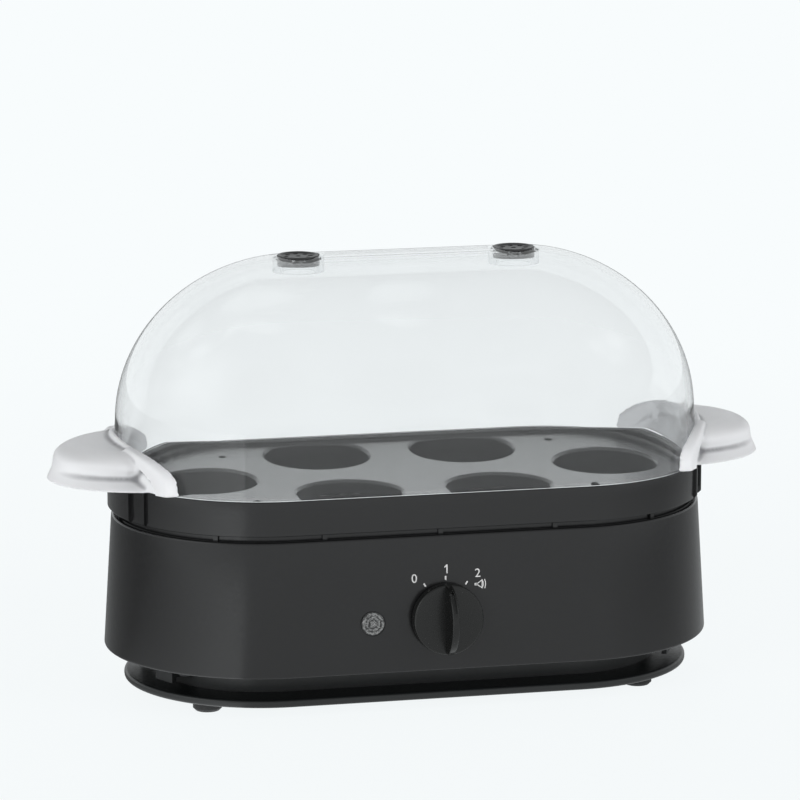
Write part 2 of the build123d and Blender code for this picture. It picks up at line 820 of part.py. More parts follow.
def egg_tray():
    """Lift-out tray: outer band, locating skirt, deck with six seats, and a grip at each end."""
    tray = ring(rim_radius, band_inner_radius, band_z, rim_z)
    tray += ring(skirt_radius, skirt_radius - tray_wall, skirt_z, deck_top)
    border = band_inner_radius + tray_wall / 2
    tray += prism(border, deck_z, deck_top)
    tray += ring(border, band_inner_radius - deck_border_width, deck_z, deck_top + deck_border_step)
    rib_outer = rim_radius - seam_chamfer - rest_rib_setback
    rib_inner = skirt_radius - tray_wall / 2
    for place in rest_rib_places():
        rib = block(rib_outer - rib_inner, rest_rib_thickness, seam_z, deck_top)
        tray += place * Pos((rib_outer + rib_inner) / 2, 0, 0) * rib
    for side in (-1, 1):
        tray += grip_tab(side)
    for place in seat_places():
        tray += place * rod(seat_radius + seat_collar_wall, deck_top - seat_collar_depth, deck_top)
    for place in seat_places():
        tray -= place * rod(seat_radius, skirt_z, deck_top + cut_past)
        tray -= place * Pos(0, 0, deck_top - seat_chamfer) * Cone(
            seat_radius, seat_radius + seat_chamfer + cut_past, seat_chamfer + cut_past, align=BASE
        )
    for place in steam_hole_places():
        tray -= place * rod(steam_hole_radius, deck_z - cut_past, deck_top + cut_past)
    return tray


# Lid

def arch(outlines, low, height, steps=8, last_angle=84.0):
    """Loft of flat outlines that shrink like a quarter ellipse while they rise."""
    sections = []
    for index in range(steps + 1):
        angle = radians(last_angle * index / steps)
        level = low + height * sin(angle) / sin(radians(last_angle))
        sections.append(Pos(0, 0, level) * outlines(cos(angle)))
    return loft(sections)


def lid_form(grow):
    """Solid bounded by the lid's outer surface, grown outwards by a distance."""
    low_radius = rim_radius - lid_foot_inset + grow

    def outline(share):
        half_length = crest_half + (straight_half - crest_half) * share
        return stadium((arch_radius + grow) * share, half_length)

    wall = loft([Pos(0, 0, rim_z) * stadium(low_radius), Pos(0, 0, arch_z) * stadium(arch_radius + grow)])
    return wall + arch(outline, arch_z, arch_height + grow)


def lid_dome():
    """Clear lid: thin arched shell with a locating lip and two vent collars."""
    lid = lid_form(0)
    collar_outer = vent_radius + vent_gap + vent_collar_wall
    shell = lid - lid_form(-lid_wall)
    shell += ring(rim_radius - lid_foot_inset, lip_radius - lid_lip_wall, rim_z, rim_z + lid_rim_height)
    shell += ring(lip_radius, lip_radius - lid_lip_wall, rim_z - lid_lip_depth, rim_z + lid_rim_height)
    for x in (-vent_x, vent_x):
        shell += Pos(x, 0, 0) * rod(collar_outer, crest_z - vent_collar_depth, crest_z)
    for x in (-vent_x, vent_x):
        shell -= Pos(x, 0, 0) * rod(vent_radius + vent_gap, crest_z - vent_insert_height, crest_z + cut_past)
        shell -= Pos(x, 0, 0) * rod(vent_radius - vent_collar_wall, crest_z - 2 * vent_collar_depth, crest_z)
    return shell


def vent_insert():
    """Dark steam vent plug with a ring of small through holes, seated on the collar's step."""
    plug = rod(vent_radius, crest_z - vent_insert_height, crest_z)
    plug = fillet(plug.edges().sort_by(Axis.Z)[-1], vent_round)
    hole = rod(vent_hole_radius, crest_z - vent_insert_height - cut_past, crest_z + cut_past)
    plug -= hole
    for index in range(vent_hole_count):
        plug -= Rot(0, 0, 360 * index / vent_hole_count) * Pos(vent_hole_ring, 0, 0) * hole
    return plug


def visor_form():
    """Solid inside the visor: flared skirt, waist, and a bead that rolls over into the top."""
    def outline(length, half_width, height):
        return Pos(visor_centre, 0, rim_z + height) * Ellipse(length, half_width)

    waist_length = visor_length - visor_tip_pinch
    waist_width = visor_half_width - visor_pinch
    bead_width = waist_width + visor_bulge
    bead_low = visor_height - visor_bead_height
    foot = outline(visor_length, visor_half_width, 0)
    waist = outline(waist_length, waist_width, visor_skirt_height)
    form = loft([foot, waist])
    form += loft([waist, outline(waist_length - visor_bulge, bead_width, bead_low)])
    sections = []
    for index in range(visor_bead_steps + 1):
        turn = radians(90 * index / visor_bead_steps)
        length = waist_length - visor_bulge - visor_tip_round * (1 - cos(turn))
        half_width = bead_width - visor_side_round * (1 - cos(turn))
        sections.append(outline(length, half_width, bead_low + visor_bead_height * sin(turn)))
    return form + loft(sections)


def lid_handle():
    """Right-hand handle: half-oval visor, hollow below, on a saddle collar that hugs the lid."""
    left = [(-collar_half_width, -collar_drop), (-collar_half_width, collar_shoulder)]
    right = [(-x, y) for x, y in reversed(left)]
    front = make_face(Polyline(*left, (0, collar_peak), *right, close=True))
    front = Pos(0, rim_z) * fillet(front.vertices().sort_by(Axis.Y)[2:], collar_corner)
    saddle = Pos(straight_half, 0, 0) * extrude(Plane.YZ * front, rim_radius + 2 * collar_thickness)
    collar = lid_form(collar_thickness) & saddle
    hollow = Pos(visor_centre, 0) * Ellipse(visor_length - visor_wall, visor_half_width - visor_wall)
    hollow = Pos(0, 0, rim_z - cut_past) * extrude(hollow, visor_height - visor_roof + cut_past)
    hollow -= prism(rim_radius + visor_root_wall, rim_z - 2 * cut_past, rim_z + visor_height)
    handle = visor_form() + collar - lid_form(0) - hollow
    handle -= prism(rim_radius - lid_foot_inset, -rim_z, rim_z + lid_rim_height)
    handle -= prism(2 * rim_radius, -rim_z, rim_z)
    return handle.solids().sort_by(SortBy.VOLUME)[-1]


def save(name, pieces):
    """Write one node, moved so that the origin is under the middle of the whole."""
    solids = pieces if isinstance(pieces, list) else [pieces]
    moved = [Pos(0, origin_shift, 0) * solid for solid in solids]
    export_step(moved[0] if len(moved) == 1 else Compound(children=moved), f"parts/{name}.step")


def main():
    """Build every piece and write it."""
    os.makedirs("parts", exist_ok=True)
    save("body_shell", body_shell())
    save("winding_drum", winding_drum())
    save("base_plate", base_plate())
    for name, place in foot_places().items():
        save(name, place * foot())
    save("base_screws", base_screws())
    save("body_screws", body_screws())
    save("cord_gland", cord_gland())
    save("heating_dish", heating_dish())
    save("dish_seal", dish_seal())
    save("heat_spreader", heat_spreader())
    save("heating_element", heating_element())
    save("dish_clamp", dish_clamp())
    save("clamp_nut", clamp_nut())
    save("clamp_screws", clamp_screws())
    save("thermostat", thermostat())
    save("thermal_fuse", thermal_fuse())
    save("fuse_clip", fuse_clip())
    save("control_knob", control_knob())
    save("switch_shaft", switch_shaft())
    save("rotary_switch", rotary_switch())
    save("switch_screws", switch_screws())
    save("indicator_lens", indicator_lens())
    save("neon_lamp", neon_lamp())
    save("lamp_holder", lamp_holder())
    save("circuit_board", circuit_board())
    save("buzzer", buzzer())
    save("board_screws", board_screws())
    save("terminal_block", terminal_block())
    save("egg_tray", egg_tray())
    save("lid_dome", lid_dome())
    save("vent_insert_left", Pos(-vent_x, 0, 0) * vent_insert())
    save("vent_insert_right", Pos(vent_x, 0, 0) * vent_insert())
    right_handle = lid_handle()
    save("lid_handle_right", right_handle)
    save("lid_handle_left", mirror(right_handle, about=Plane.YZ))


main()
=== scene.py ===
"""Looks of a six-egg electric egg cooker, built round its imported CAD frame. All lengths are in metres."""

import json
import logging
import math
from dataclasses import dataclass
from enum import Enum
from typing import Callable, Optional, Sequence

import bmesh
import bpy
import numpy as np
from mathutils import Matrix, Vector


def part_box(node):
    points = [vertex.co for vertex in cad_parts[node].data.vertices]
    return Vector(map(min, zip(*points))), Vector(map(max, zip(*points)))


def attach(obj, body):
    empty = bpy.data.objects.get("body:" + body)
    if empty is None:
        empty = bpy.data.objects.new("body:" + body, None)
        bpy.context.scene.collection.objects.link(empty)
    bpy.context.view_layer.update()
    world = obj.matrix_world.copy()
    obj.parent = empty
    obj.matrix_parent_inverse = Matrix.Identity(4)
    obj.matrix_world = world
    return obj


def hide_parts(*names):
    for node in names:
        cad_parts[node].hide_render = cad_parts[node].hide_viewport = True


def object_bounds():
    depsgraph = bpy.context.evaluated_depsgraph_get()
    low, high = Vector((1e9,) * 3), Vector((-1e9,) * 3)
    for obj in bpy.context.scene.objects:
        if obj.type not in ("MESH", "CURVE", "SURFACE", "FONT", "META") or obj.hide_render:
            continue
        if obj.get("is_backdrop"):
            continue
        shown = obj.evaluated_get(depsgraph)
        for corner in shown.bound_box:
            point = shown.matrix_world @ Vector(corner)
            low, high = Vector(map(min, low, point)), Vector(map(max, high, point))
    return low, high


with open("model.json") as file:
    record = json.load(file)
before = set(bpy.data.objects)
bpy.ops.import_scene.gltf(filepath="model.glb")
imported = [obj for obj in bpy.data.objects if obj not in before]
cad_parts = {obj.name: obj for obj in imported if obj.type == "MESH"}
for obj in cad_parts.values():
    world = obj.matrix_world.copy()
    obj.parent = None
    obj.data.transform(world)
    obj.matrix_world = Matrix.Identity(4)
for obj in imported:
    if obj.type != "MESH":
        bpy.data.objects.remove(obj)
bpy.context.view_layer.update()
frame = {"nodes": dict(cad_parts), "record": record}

LOG = logging.getLogger("egg_cooker")
NEAR = 1e-6
MERGE = 1e-6
# Attribute that masks the painted shade in the handles' creases.
CREASE_SHADE = "hollow"
MIX_SHARE, MIX_FIRST, MIX_SECOND, MIX_COLOUR = 0, 6, 7, 2
PATTERN_LOW, PATTERN_HIGH = 0.3, 0.7
FULL_TURN = 360.0
SEED = 0.001
CUBIC_CM = 1e-6
WHITE = (0.939, 0.973, 0.982)
Flat = tuple[float, float]
Point = tuple[float, float, float]
Piece = bpy.types.Object
Socket = bpy.types.NodeSocket


class Body(Enum):
    """The moving groups of the frame."""

    HOUSING = "housing"
    TRAY = "tray"
    LID = "lid"
    KNOB = "knob"


class Cut(Enum):
    """How one solid is worked into another."""

    UNION = "UNION"
    DIFFERENCE = "DIFFERENCE"
    INTERSECT = "INTERSECT"


# Shaping tools


def deselect_all() -> None:
    """Leave edit mode and clear the selection."""
    if bpy.context.object and bpy.context.object.mode != "OBJECT":
        bpy.ops.object.mode_set(mode="OBJECT")
    bpy.ops.object.select_all(action="DESELECT")


def activate(piece: Piece) -> None:
    """Select one piece and make it the active one.

    Args:
        piece: The piece.
    """
    deselect_all()
    piece.select_set(True)
    bpy.context.view_layer.objects.active = piece


def edit(piece: Piece, whole: bool = False) -> None:
    """Open a piece in edit mode.

    Args:
        piece: The piece to edit.
        whole: Whether all of it is selected, or nothing.
    """
    activate(piece)
    bpy.ops.object.mode_set(mode="EDIT")
    bpy.ops.mesh.select_all(action="SELECT" if whole else "DESELECT")


def extrude(run: Sequence[float]) -> None:
    """Extrude what is selected by a direction and distance."""
    bpy.ops.mesh.extrude_region_move(TRANSFORM_OT_translate={"value": tuple(run)})


def pick(piece: Piece, wanted: Callable[[Vector], bool]) -> int:
    """Select the vertices of the piece in edit mode that a test accepts.

    Args:
        piece: The piece in edit mode.
        wanted: Test of a vertex's place.

    Returns:
        How many were selected.
    """
    bpy.ops.mesh.select_mode(type="VERT")
    bpy.ops.mesh.select_all(action="DESELECT")
    mesh = bmesh.from_edit_mesh(piece.data)
    found = [vertex for vertex in mesh.verts if wanted(vertex.co)]
    for vertex in found:
        vertex.select_set(True)
    mesh.select_flush_mode()
    bmesh.update_edit_mesh(piece.data)
    return len(found)


def tidy_mesh(piece: Piece, merge: float = MERGE) -> None:
    """Merge doubled points and point all faces outwards.

    Args:
        piece: The piece, in either mode.
        merge: Distance under which points become one.
    """
    edit(piece, whole=True)
    bpy.ops.mesh.remove_doubles(threshold=merge)
    bpy.ops.mesh.normals_make_consistent(inside=False)
    bpy.ops.object.mode_set(mode="OBJECT")


def settle(piece: Piece) -> Piece:
    """Put a piece's place, turn and scale into its mesh.

    Args:
        piece: The piece.

    Returns:
        The piece.
    """
    activate(piece)
    bpy.ops.object.transform_apply(location=True, rotation=True, scale=True)
    return piece


def smooth(piece: Piece, angle: float = 35.0) -> Piece:
    """Shade a piece smoothly except over its sharp edges.

    Args:
        piece: The piece.
        angle: Angle in degrees over which an edge is sharp.

    Returns:
        The piece.
    """
    activate(piece)
    bpy.ops.object.shade_smooth_by_angle(angle=math.radians(angle))
    return piece


def combine(piece: Piece, tool: Piece, cut: Cut) -> Piece:
    """Work one solid into another and delete the tool.

    Args:
        piece: The solid that stays.
        tool: The solid that is worked in.
        cut: Union, difference or intersection.

    Returns:
        The piece.
    """
    activate(piece)
    step = piece.modifiers.new(cut.value.lower(), "BOOLEAN")
    step.operation = cut.value
    step.object = tool
    step.solver = "EXACT"
    bpy.ops.object.modifier_apply(modifier=step.name)
    bpy.data.objects.remove(tool, do_unlink=True)
    return piece


def apply_modifier(piece: Piece, kind: str, **settings: object) -> None:
    """Add one modifier, set it up and apply it.

    Args:
        piece: The piece.
        kind: Blender's name of the modifier's type.
        settings: Its settings by name.
    """
    activate(piece)
    step = piece.modifiers.new(kind.lower(), kind)
    for name, value in settings.items():
        setattr(step, name, value)
    bpy.ops.object.modifier_apply(modifier=step.name)


def cylinder(
    name: str, radius: float, low: float, high: float, x: float = 0.0, y: float = 0.0, sides: int = 64
) -> Piece:
    """Upright round bar.

    Args:
        name: Object name.
        radius: Its radius.
        low: Level of its lower end.
        high: Level of its upper end.
        x: Place of its axis.
        y: Place of its axis.
        sides: Number of sides.

    Returns:
        The bar.
    """
    deselect_all()
    bpy.ops.mesh.primitive_cylinder_add(
        vertices=sides, radius=radius, depth=high - low, location=(x, y, (low + high) / 2)
    )
    bar = bpy.context.object
    bar.name = name
    return settle(bar)


def drill(piece: Piece, radius: float, low: float, high: float, x: float, y: float, sides: int = 64) -> Piece:
    """Bore an upright round hole.

    Args:
        piece: The piece.
        radius: The hole's radius.
        low: Level of its lower end.
        high: Level of its upper end.
        x: Place of its axis.
        y: Place of its axis.
        sides: Number of sides.

    Returns:
        The piece.
    """
    return combine(piece, cylinder("drill", radius, low, high, x, y, sides), Cut.DIFFERENCE)


def wheel(radius: float, width: float, level: float, sides: int) -> Piece:
    """Round bar along the X axis.

    Args:
        radius: Its radius.
        width: Its length along X.
        level: Level of its axis.
        sides: Number of sides.

    Returns:
        The bar.
    """
    deselect_all()
    bpy.ops.mesh.primitive_cylinder_add(
        vertices=sides, radius=radius, depth=width, rotation=(0, math.pi / 2, 0), location=(0, 0, level)
    )
    return settle(bpy.context.object)


def block(place: Point, size: Point) -> Piece:
    """Box with its faces along the axes.

    Args:
        place: Its middle.
        size: Its three sizes.

    Returns:
        The box.
    """
    deselect_all()
    bpy.ops.mesh.primitive_cube_add(size=1.0, location=place)
    piece = bpy.context.object
    piece.scale = size
    return settle(piece)


def chain(
    name: str, places: Sequence[Vector], rounds: Sequence[tuple[float, int]], closed: bool, filled: bool = False
) -> Piece:
    """Draw a line from place to place and round its corners.

    Args:
        name: Object name.
        places: Its corners in order.
        rounds: Setback and steps of the rounding at each corner; a setback of 0 leaves it sharp.
        closed: Whether the last corner joins the first.
        filled: Whether the closed line gets a face.

    Returns:
        The line, left in object mode.
    """
    deselect_all()
    bpy.ops.mesh.primitive_plane_add(size=SEED, location=places[0])
    piece = bpy.context.object
    piece.name = name
    settle(piece)
    bpy.ops.object.mode_set(mode="EDIT")
    bpy.ops.mesh.select_mode(type="VERT")
    bpy.ops.mesh.select_all(action="SELECT")
    bpy.ops.mesh.merge(type="CENTER")
    for here, there in zip(places, places[1:]):
        extrude(there - here)
    if closed:
        pick(piece, lambda p: (p - places[0]).length < NEAR or (p - places[-1]).length < NEAR)
        bpy.ops.mesh.edge_face_add()
    for (setback, steps), place in zip(rounds, places):
        if setback:
            pick(piece, lambda p: (p - place).length < NEAR)
            bpy.ops.mesh.bevel(offset_type="OFFSET", offset=setback, segments=steps, affect="VERTICES")
    if filled:
        bpy.ops.mesh.select_all(action="SELECT")
        bpy.ops.mesh.edge_face_add()
    bpy.ops.object.mode_set(mode="OBJECT")
    return piece


def raise_face(piece: Piece, run: Vector) -> Piece:
    """Turn a flat face into a solid.

    Args:
        piece: The flat piece.
        run: Direction and distance of the extrusion.

    Returns:
        The same piece.
    """
    edit(piece, whole=True)
    extrude(run)
    tidy_mesh(piece)
    return piece


def turned(name: str, corners: Sequence["Corner"], steps: int = 64) -> Piece:
    """Turn a section that starts and ends on the Z axis into a round solid.

    Args:
        name: Object name.
        corners: The section's corners.
        steps: Steps round the axis.

    Returns:
        The solid.
    """
    places = [Vector((0.0, -c.reach, c.level)) for c in corners]
    piece = chain(name, places, [(c.round, c.steps) for c in corners], closed=False)
    edit(piece, whole=True)
    bpy.ops.mesh.spin(steps=steps, angle=-2 * math.pi, center=(0, 0, 0), axis=(0, 0, 1))
    tidy_mesh(piece, 2 * MERGE)
    return piece


def place_by(piece: Piece, frame_matrix: Matrix) -> Piece:
    """Move a piece that was made at the origin to its place, and return it."""
    piece.matrix_world = frame_matrix
    return settle(piece)


def twin(piece: Piece, name: str) -> Piece:
    """Copy a piece to the other side of the middle.

    Args:
        piece: The right-hand piece.
        name: Name of its mirror image.

    Returns:
        The mirror image, with its own mesh.
    """
    other = piece.copy()
    other.data = piece.data.copy()
    other.name = name
    bpy.context.scene.collection.objects.link(other)
    other.scale = (-1.0, 1.0, 1.0)
    settle(other)
    edit(other, whole=True)
    bpy.ops.mesh.normals_make_consistent(inside=False)
    bpy.ops.object.mode_set(mode="OBJECT")
    return other


def volume(piece: Piece) -> float:
    """Measure the volume that a piece encloses.

    Args:
        piece: The piece, closed.

    Returns:
        The volume in cubic metres.
    """
    mesh = piece.data
    mesh.calc_loop_triangles()
    places = np.empty(3 * len(mesh.vertices), dtype=np.float32)
    ends = np.empty(3 * len(mesh.loop_triangles), dtype=np.int32)
    mesh.vertices.foreach_get("co", places)
    mesh.loop_triangles.foreach_get("vertices", ends)
    corners = places.astype(np.float64).reshape(-1, 3)[ends.reshape(-1, 3)]
    return abs(float((corners[:, 0] * np.cross(corners[:, 1], corners[:, 2])).sum())) / 6


def map_crease_shade(piece: Piece, rounds: int, reach: Flat) -> None:
    """Store at each point how deep it lies in a hollow, from 0 on flats and ridges to 1 in a crease, as the mask of
    painted crease shade.

    Args:
        piece: The piece, of even small faces.
        rounds: How widely its surroundings are averaged.
        reach: Depths at which the value starts and is full.
    """
    mesh = piece.data
    count = len(mesh.vertices)
    places = np.empty(3 * count, dtype=np.float32)
    normals = np.empty(3 * count, dtype=np.float32)
    ends = np.empty(2 * len(mesh.edges), dtype=np.int32)
    mesh.vertices.foreach_get("co", places)
    mesh.vertices.foreach_get("normal", normals)
    mesh.edges.foreach_get("vertices", ends)
    places, normals, ends = places.reshape(-1, 3), normals.reshape(-1, 3), ends.reshape(-1, 2)
    links = np.bincount(ends.ravel(), minlength=count)
    mean = places.astype(np.float64)
    for _ in range(rounds):
        for axis in range(3):
            near = np.bincount(ends[:, 0], mean[ends[:, 1], axis], count)
            near += np.bincount(ends[:, 1], mean[ends[:, 0], axis], count)
            mean[:, axis] = (mean[:, axis] + near / links) / 2
    depth = ((mean - places) * normals).sum(axis=1)
    share = (depth - reach[0]) / (reach[1] - reach[0])
    layer = mesh.attributes.new(CREASE_SHADE, "FLOAT", "POINT")
    layer.data.foreach_set("value", np.clip(share, 0.0, 1.0).astype(np.float32))


@dataclass(frozen=True)
class Corner:
    """One corner of a section: distance from the cap's axis, level, and the radius it is rounded to."""

    reach: float
    level: float
    round: float = 0.0
    steps: int = 4


@dataclass(frozen=True)
class Plan:
    """The racetrack that base, body, tray and lid follow."""

    half_length: float
    centre_y: float

    def section(self, name: str, corners: Sequence[Corner], closed: bool) -> Piece:
        """Draw a section's corners as a chain of edges on the front side of the right cap."""
        places = [Vector((self.half_length, self.centre_y - c.reach, c.level)) for c in corners]
        return chain(name, places, [(c.round, c.steps) for c in corners], closed)

    def sweep(self, name: str, corners: Sequence[Corner], closed: bool = True, steps: int = 56) -> Piece:
        """Carry a section once round the racetrack.

        Args:
            name: Object name.
            corners: The section's corners.
            closed: Whether the section is a closed loop; an open one ends on the caps' axes.
            steps: Steps round each cap.

        Returns:
            The closed form.
        """
        piece = self.section(name, corners, closed)
        edit(piece, whole=True)
        for side in (1, -1):
            centre = (side * self.half_length, self.centre_y, 0.0)
            bpy.ops.mesh.spin(steps=steps, angle=-math.pi, center=centre, axis=(0, 0, 1))
            extrude((-2 * side * self.half_length, 0, 0))
        tidy_mesh(piece, 2 * MERGE)
        return piece


# Finishes


class Sheet:
    """A material's node tree with short ways to add and join nodes."""

    def __init__(self, name: str, world: Optional[bpy.types.World] = None) -> None:
        """Start an empty material, or empty a world.

        Args:
            name: The material's name.
            world: The world to use instead of a new material.
        """
        self.material = world or bpy.data.materials.new(name)
        self.material.use_nodes = True
        self.nodes = self.material.node_tree.nodes
        self.links = self.material.node_tree.links
        self.nodes.clear()

    def add(self, kind: str, inputs: Optional[dict] = None, **settings: object) -> bpy.types.Node:
        """Add a node.

        Args:
            kind: The node's type.
            inputs: Values or sockets for its inputs, by name or number.
            settings: Its other settings by name.

        Returns:
            The node.
        """
        node = self.nodes.new(kind)
        for name, value in settings.items():
            setattr(node, name, value)
        for key, value in (inputs or {}).items():
            if isinstance(value, Socket):
                self.links.new(value, node.inputs[key])
            else:
                node.inputs[key].default_value = value
        return node

    def calc(self, operation: str, first: object, second: object = None, clamp: bool = False) -> Socket:
        """The result of one operation on one or two values or sockets, kept between 0 and 1 if clamped."""
        inputs = {0: first} if second is None else {0: first, 1: second}
        return self.add("ShaderNodeMath", inputs, operation=operation, use_clamp=clamp).outputs[0]

    def measure(self, operation: str, first: Socket, second: Optional[Point] = None) -> Socket:
        """The value that one operation gives for one or two vectors."""
        inputs = {0: first} if second is None else {0: first, 1: tuple(second)}
        return self.add("ShaderNodeVectorMath", inputs, operation=operation).outputs["Value"]

    def ramp(
        self,
        value: Socket,
        start: float = 0.0,
        end: float = 1.0,
        low: object = 0.0,
        high: object = 1.0,
        soft: bool = False,
    ) -> Socket:
        """Bring a value from one range into another.

        Args:
            value: The value.
            start: Where the old range starts.
            end: Where it ends.
            low: Result at the start.
            high: Result at the end.
            soft: Whether it sets in and runs out gently.

        Returns:
            The new value.
        """
        inputs = {"Value": value, "From Min": start, "From Max": end, "To Min": low, "To Max": high}
        kind = "SMOOTHSTEP" if soft else "LINEAR"
        return self.add("ShaderNodeMapRange", inputs, interpolation_type=kind).outputs["Result"]

    def mix(self, share: Socket, first: Socket, second: Socket) -> Socket:
        """Mix two shaders by the share of the second."""
        return self.add("ShaderNodeMixShader", {0: share, 1: first, 2: second}).outputs["Shader"]

    def blend(self, share: Socket, first: Socket, second: Point) -> Socket:
        """Mix a colour with a second one by the share of the second."""
        inputs = {MIX_SHARE: share, MIX_FIRST: first, MIX_SECOND: (*second, 1.0)}
        return self.add("ShaderNodeMix", inputs, data_type="RGBA").outputs[MIX_COLOUR]

    def place(self) -> Socket:
        """Object coordinates, which are the row frame's metres."""
        return self.add("ShaderNodeTexCoord").outputs["Object"]

    def noise(self, scale: float, detail: float = 2.0, stretch: Point = (1.0, 1.0, 1.0)) -> Socket:
        """A noise pattern.

        Args:
            scale: Waves per metre.
            detail: Number of finer layers.
            stretch: Scale of the pattern along X, Y and Z.

        Returns:
            Its value, from 0 to 1.
        """
        mapping = self.add("ShaderNodeMapping", {"Vector": self.place(), "Scale": stretch})
        inputs = {"Vector": mapping.outputs["Vector"], "Scale": scale, "Detail": detail}
        return self.add("ShaderNodeTexNoise", inputs).outputs["Fac"]

    def spread(self, source: Socket, low: float, high: float) -> Socket:
        """Bring a pattern between a low value where it is weak and a high one where it is strong."""
        return self.ramp(source, PATTERN_LOW, PATTERN_HIGH, low, high)

    def shade(self, source: Socket, dark: Point, light: Point) -> Socket:
        """Colour a pattern between two colours.

        Args:
            source: The pattern.
            dark: Colour where it is weak.
            light: Colour where it is strong.

        Returns:
            The colour.
        """
        ramp = self.add("ShaderNodeValToRGB", {"Fac": source})
        for stop, place, colour in zip(ramp.color_ramp.elements, (PATTERN_LOW, PATTERN_HIGH), (dark, light)):
            stop.position = place
            stop.color = (*colour, 1.0)
        return ramp.outputs["Color"]

    def bump(self, source: Socket, depth: float, strength: float = 1.0) -> Socket:
        """The normal of the relief of a pattern, by its depth and the share of it that shows."""
        inputs = {"Height": source, "Distance": depth, "Strength": strength}
        return self.add("ShaderNodeBump", inputs).outputs["Normal"]

    def finish(self, surface: Socket, inside: Optional[Socket] = None) -> bpy.types.Material:
        """Join a surface's shader, and that of what fills the piece, to the material's output."""
        self.add("ShaderNodeOutputMaterial", {"Surface": surface, **({"Volume": inside} if inside else {})})
        return self.material

    def coat(self, inputs: dict) -> bpy.types.Material:
        """Finish the material with one principled shader of the given inputs."""
        return self.finish(self.add("ShaderNodeBsdfPrincipled", inputs).outputs["BSDF"])


def tint(colour: Point, factor: float) -> Point:
    """A colour made lighter or darker by a factor."""
    return tuple(min(1.0, channel * factor) for channel in colour)


@dataclass(frozen=True)
class Moulded:
    """Opaque moulded plastic or rubber with a faint grain."""

    name: str
    colour: Point
    roughness: float
    roughness_range: float = 0.05
    grain: float = 900.0
    grain_detail: float = 4.0
    grain_depth: float = 0.00002
    ripple: float = 26.0
    ripple_depth: float = 0.00004
    index: float = 1.5
    mottle: Flat = (0.92, 1.08)

    def build(self) -> bpy.types.Material:
        """Make the material.

        Returns:
            The material.
        """
        sheet = Sheet(self.name)
        cloud = sheet.noise(self.ripple, 3.0)
        fine = sheet.noise(self.grain, self.grain_detail)
        relief = sheet.bump(fine, self.grain_depth)
        wave = {"Height": cloud, "Distance": self.ripple_depth, "Strength": 1.0, "Normal": relief}
        low, high = self.roughness - self.roughness_range, self.roughness + self.roughness_range
        inputs = {
            "Base Color": sheet.shade(cloud, *(tint(self.colour, factor) for factor in self.mottle)),
            "Roughness": sheet.spread(fine, low, high),
            "IOR": self.index,
            "Normal": sheet.add("ShaderNodeBump", wave).outputs["Normal"],
        }
        return sheet.coat(inputs)


@dataclass(frozen=True)
class Clear:
    """See-through plastic or glass that lets lamplight pass; it can carry painted shade, darker in creases and on
    faces turned up.
    """

    name: str
    colour: Point
    roughness: float
    index: float = 1.49
    shadow: float = 0.9
    frost: float = 0.0
    ripple: float = 18.0
    ripple_depth: float = 0.00003
    body_colour: Point = (0.9, 0.9, 0.9)
    density: float = 0.0
    crease_shade_colour: Optional[Point] = None
    top_shade: float = 1.0
    top_shade_range: Flat = (0.2, 0.95)
    fine: float = 1400.0
    mottle: float = 0.985
    roughness_share: Flat = (0.85, 1.15)

    def build(self) -> bpy.types.Material:
        """Make the material.

        Returns:
            The material.
        """
        sheet = Sheet(self.name)
        cloud = sheet.noise(self.ripple, 1.0)
        fine = sheet.noise(self.fine)
        low, high = (self.roughness * share for share in self.roughness_share)
        colour = sheet.shade(cloud, tint(self.colour, self.mottle), self.colour)
        # Painted shade: faces turned upwards are darkened, blended in by how far the normal rises.
        if self.top_shade < 1.0:
            facing = sheet.add("ShaderNodeNewGeometry").outputs["Normal"]
            rise = sheet.add("ShaderNodeSeparateXYZ", {0: facing}).outputs["Z"]
            colour = sheet.blend(sheet.ramp(rise, *self.top_shade_range), colour, tint(self.colour, self.top_shade))
        # Painted shade: the colour darkens in creases, by the hollow depth stored on the mesh.
        if self.crease_shade_colour:
            depth = sheet.add("ShaderNodeAttribute", attribute_name=CREASE_SHADE).outputs["Fac"]
            colour = sheet.blend(depth, colour, self.crease_shade_colour)
        inputs = {
            "Base Color": colour,
            "Roughness": sheet.spread(fine, low, high),
            "Transmission Weight": 1.0 - self.frost,
            "IOR": self.index,
            "Normal": sheet.bump(cloud, self.ripple_depth),
        }
        body = sheet.add("ShaderNodeBsdfPrincipled", inputs).outputs["BSDF"]
        open_way = sheet.add("ShaderNodeBsdfTransparent", {"Color": (self.shadow,) * 3 + (1.0,)}).outputs["BSDF"]
        surface = sheet.mix(sheet.add("ShaderNodeLightPath").outputs["Is Shadow Ray"], body, open_way)
        if not self.density:
            return sheet.finish(surface)
        inside = {"Color": (*self.body_colour, 1.0), "Density": self.density}
        return sheet.finish(surface, sheet.add("ShaderNodeVolumeAbsorption", inside).outputs[0])


@dataclass(frozen=True)
class Prismatic:
    """Lamp lens: grey moulded facets in rings round its middle."""

    name: str
    dark: Point
    light: Point
    roughness: float = 0.3
    facet: float = 2600.0
    ring: float = 0.0011
    relief: float = 0.00012
    spot_share: float = 0.62

    def build(self) -> bpy.types.Material:
        """Make the material.

        Returns:
            The material.
        """
        sheet = Sheet(self.name)
        middle = panel_place(Panel.lens_x, Panel.lens_y).translation
        away = sheet.measure("DISTANCE", sheet.place(), middle)
        wave = sheet.calc("COSINE", sheet.calc("MULTIPLY", away, 2 * math.pi / self.ring))
        rings = sheet.ramp(wave, start=-1.0)
        cells = sheet.add("ShaderNodeTexVoronoi", {"Vector": sheet.place(), "Scale": self.facet}).outputs["Color"]
        spots = sheet.add("ShaderNodeSeparateColor", {"Color": cells}).outputs["Red"]
        mottle = sheet.add("ShaderNodeMix", {"Factor": self.spot_share, "A": rings, "B": spots}).outputs["Result"]
        inputs = {
            "Base Color": sheet.shade(mottle, self.dark, self.light),
            "Roughness": self.roughness,
            "Normal": sheet.bump(mottle, self.relief),
        }
        return sheet.coat(inputs)


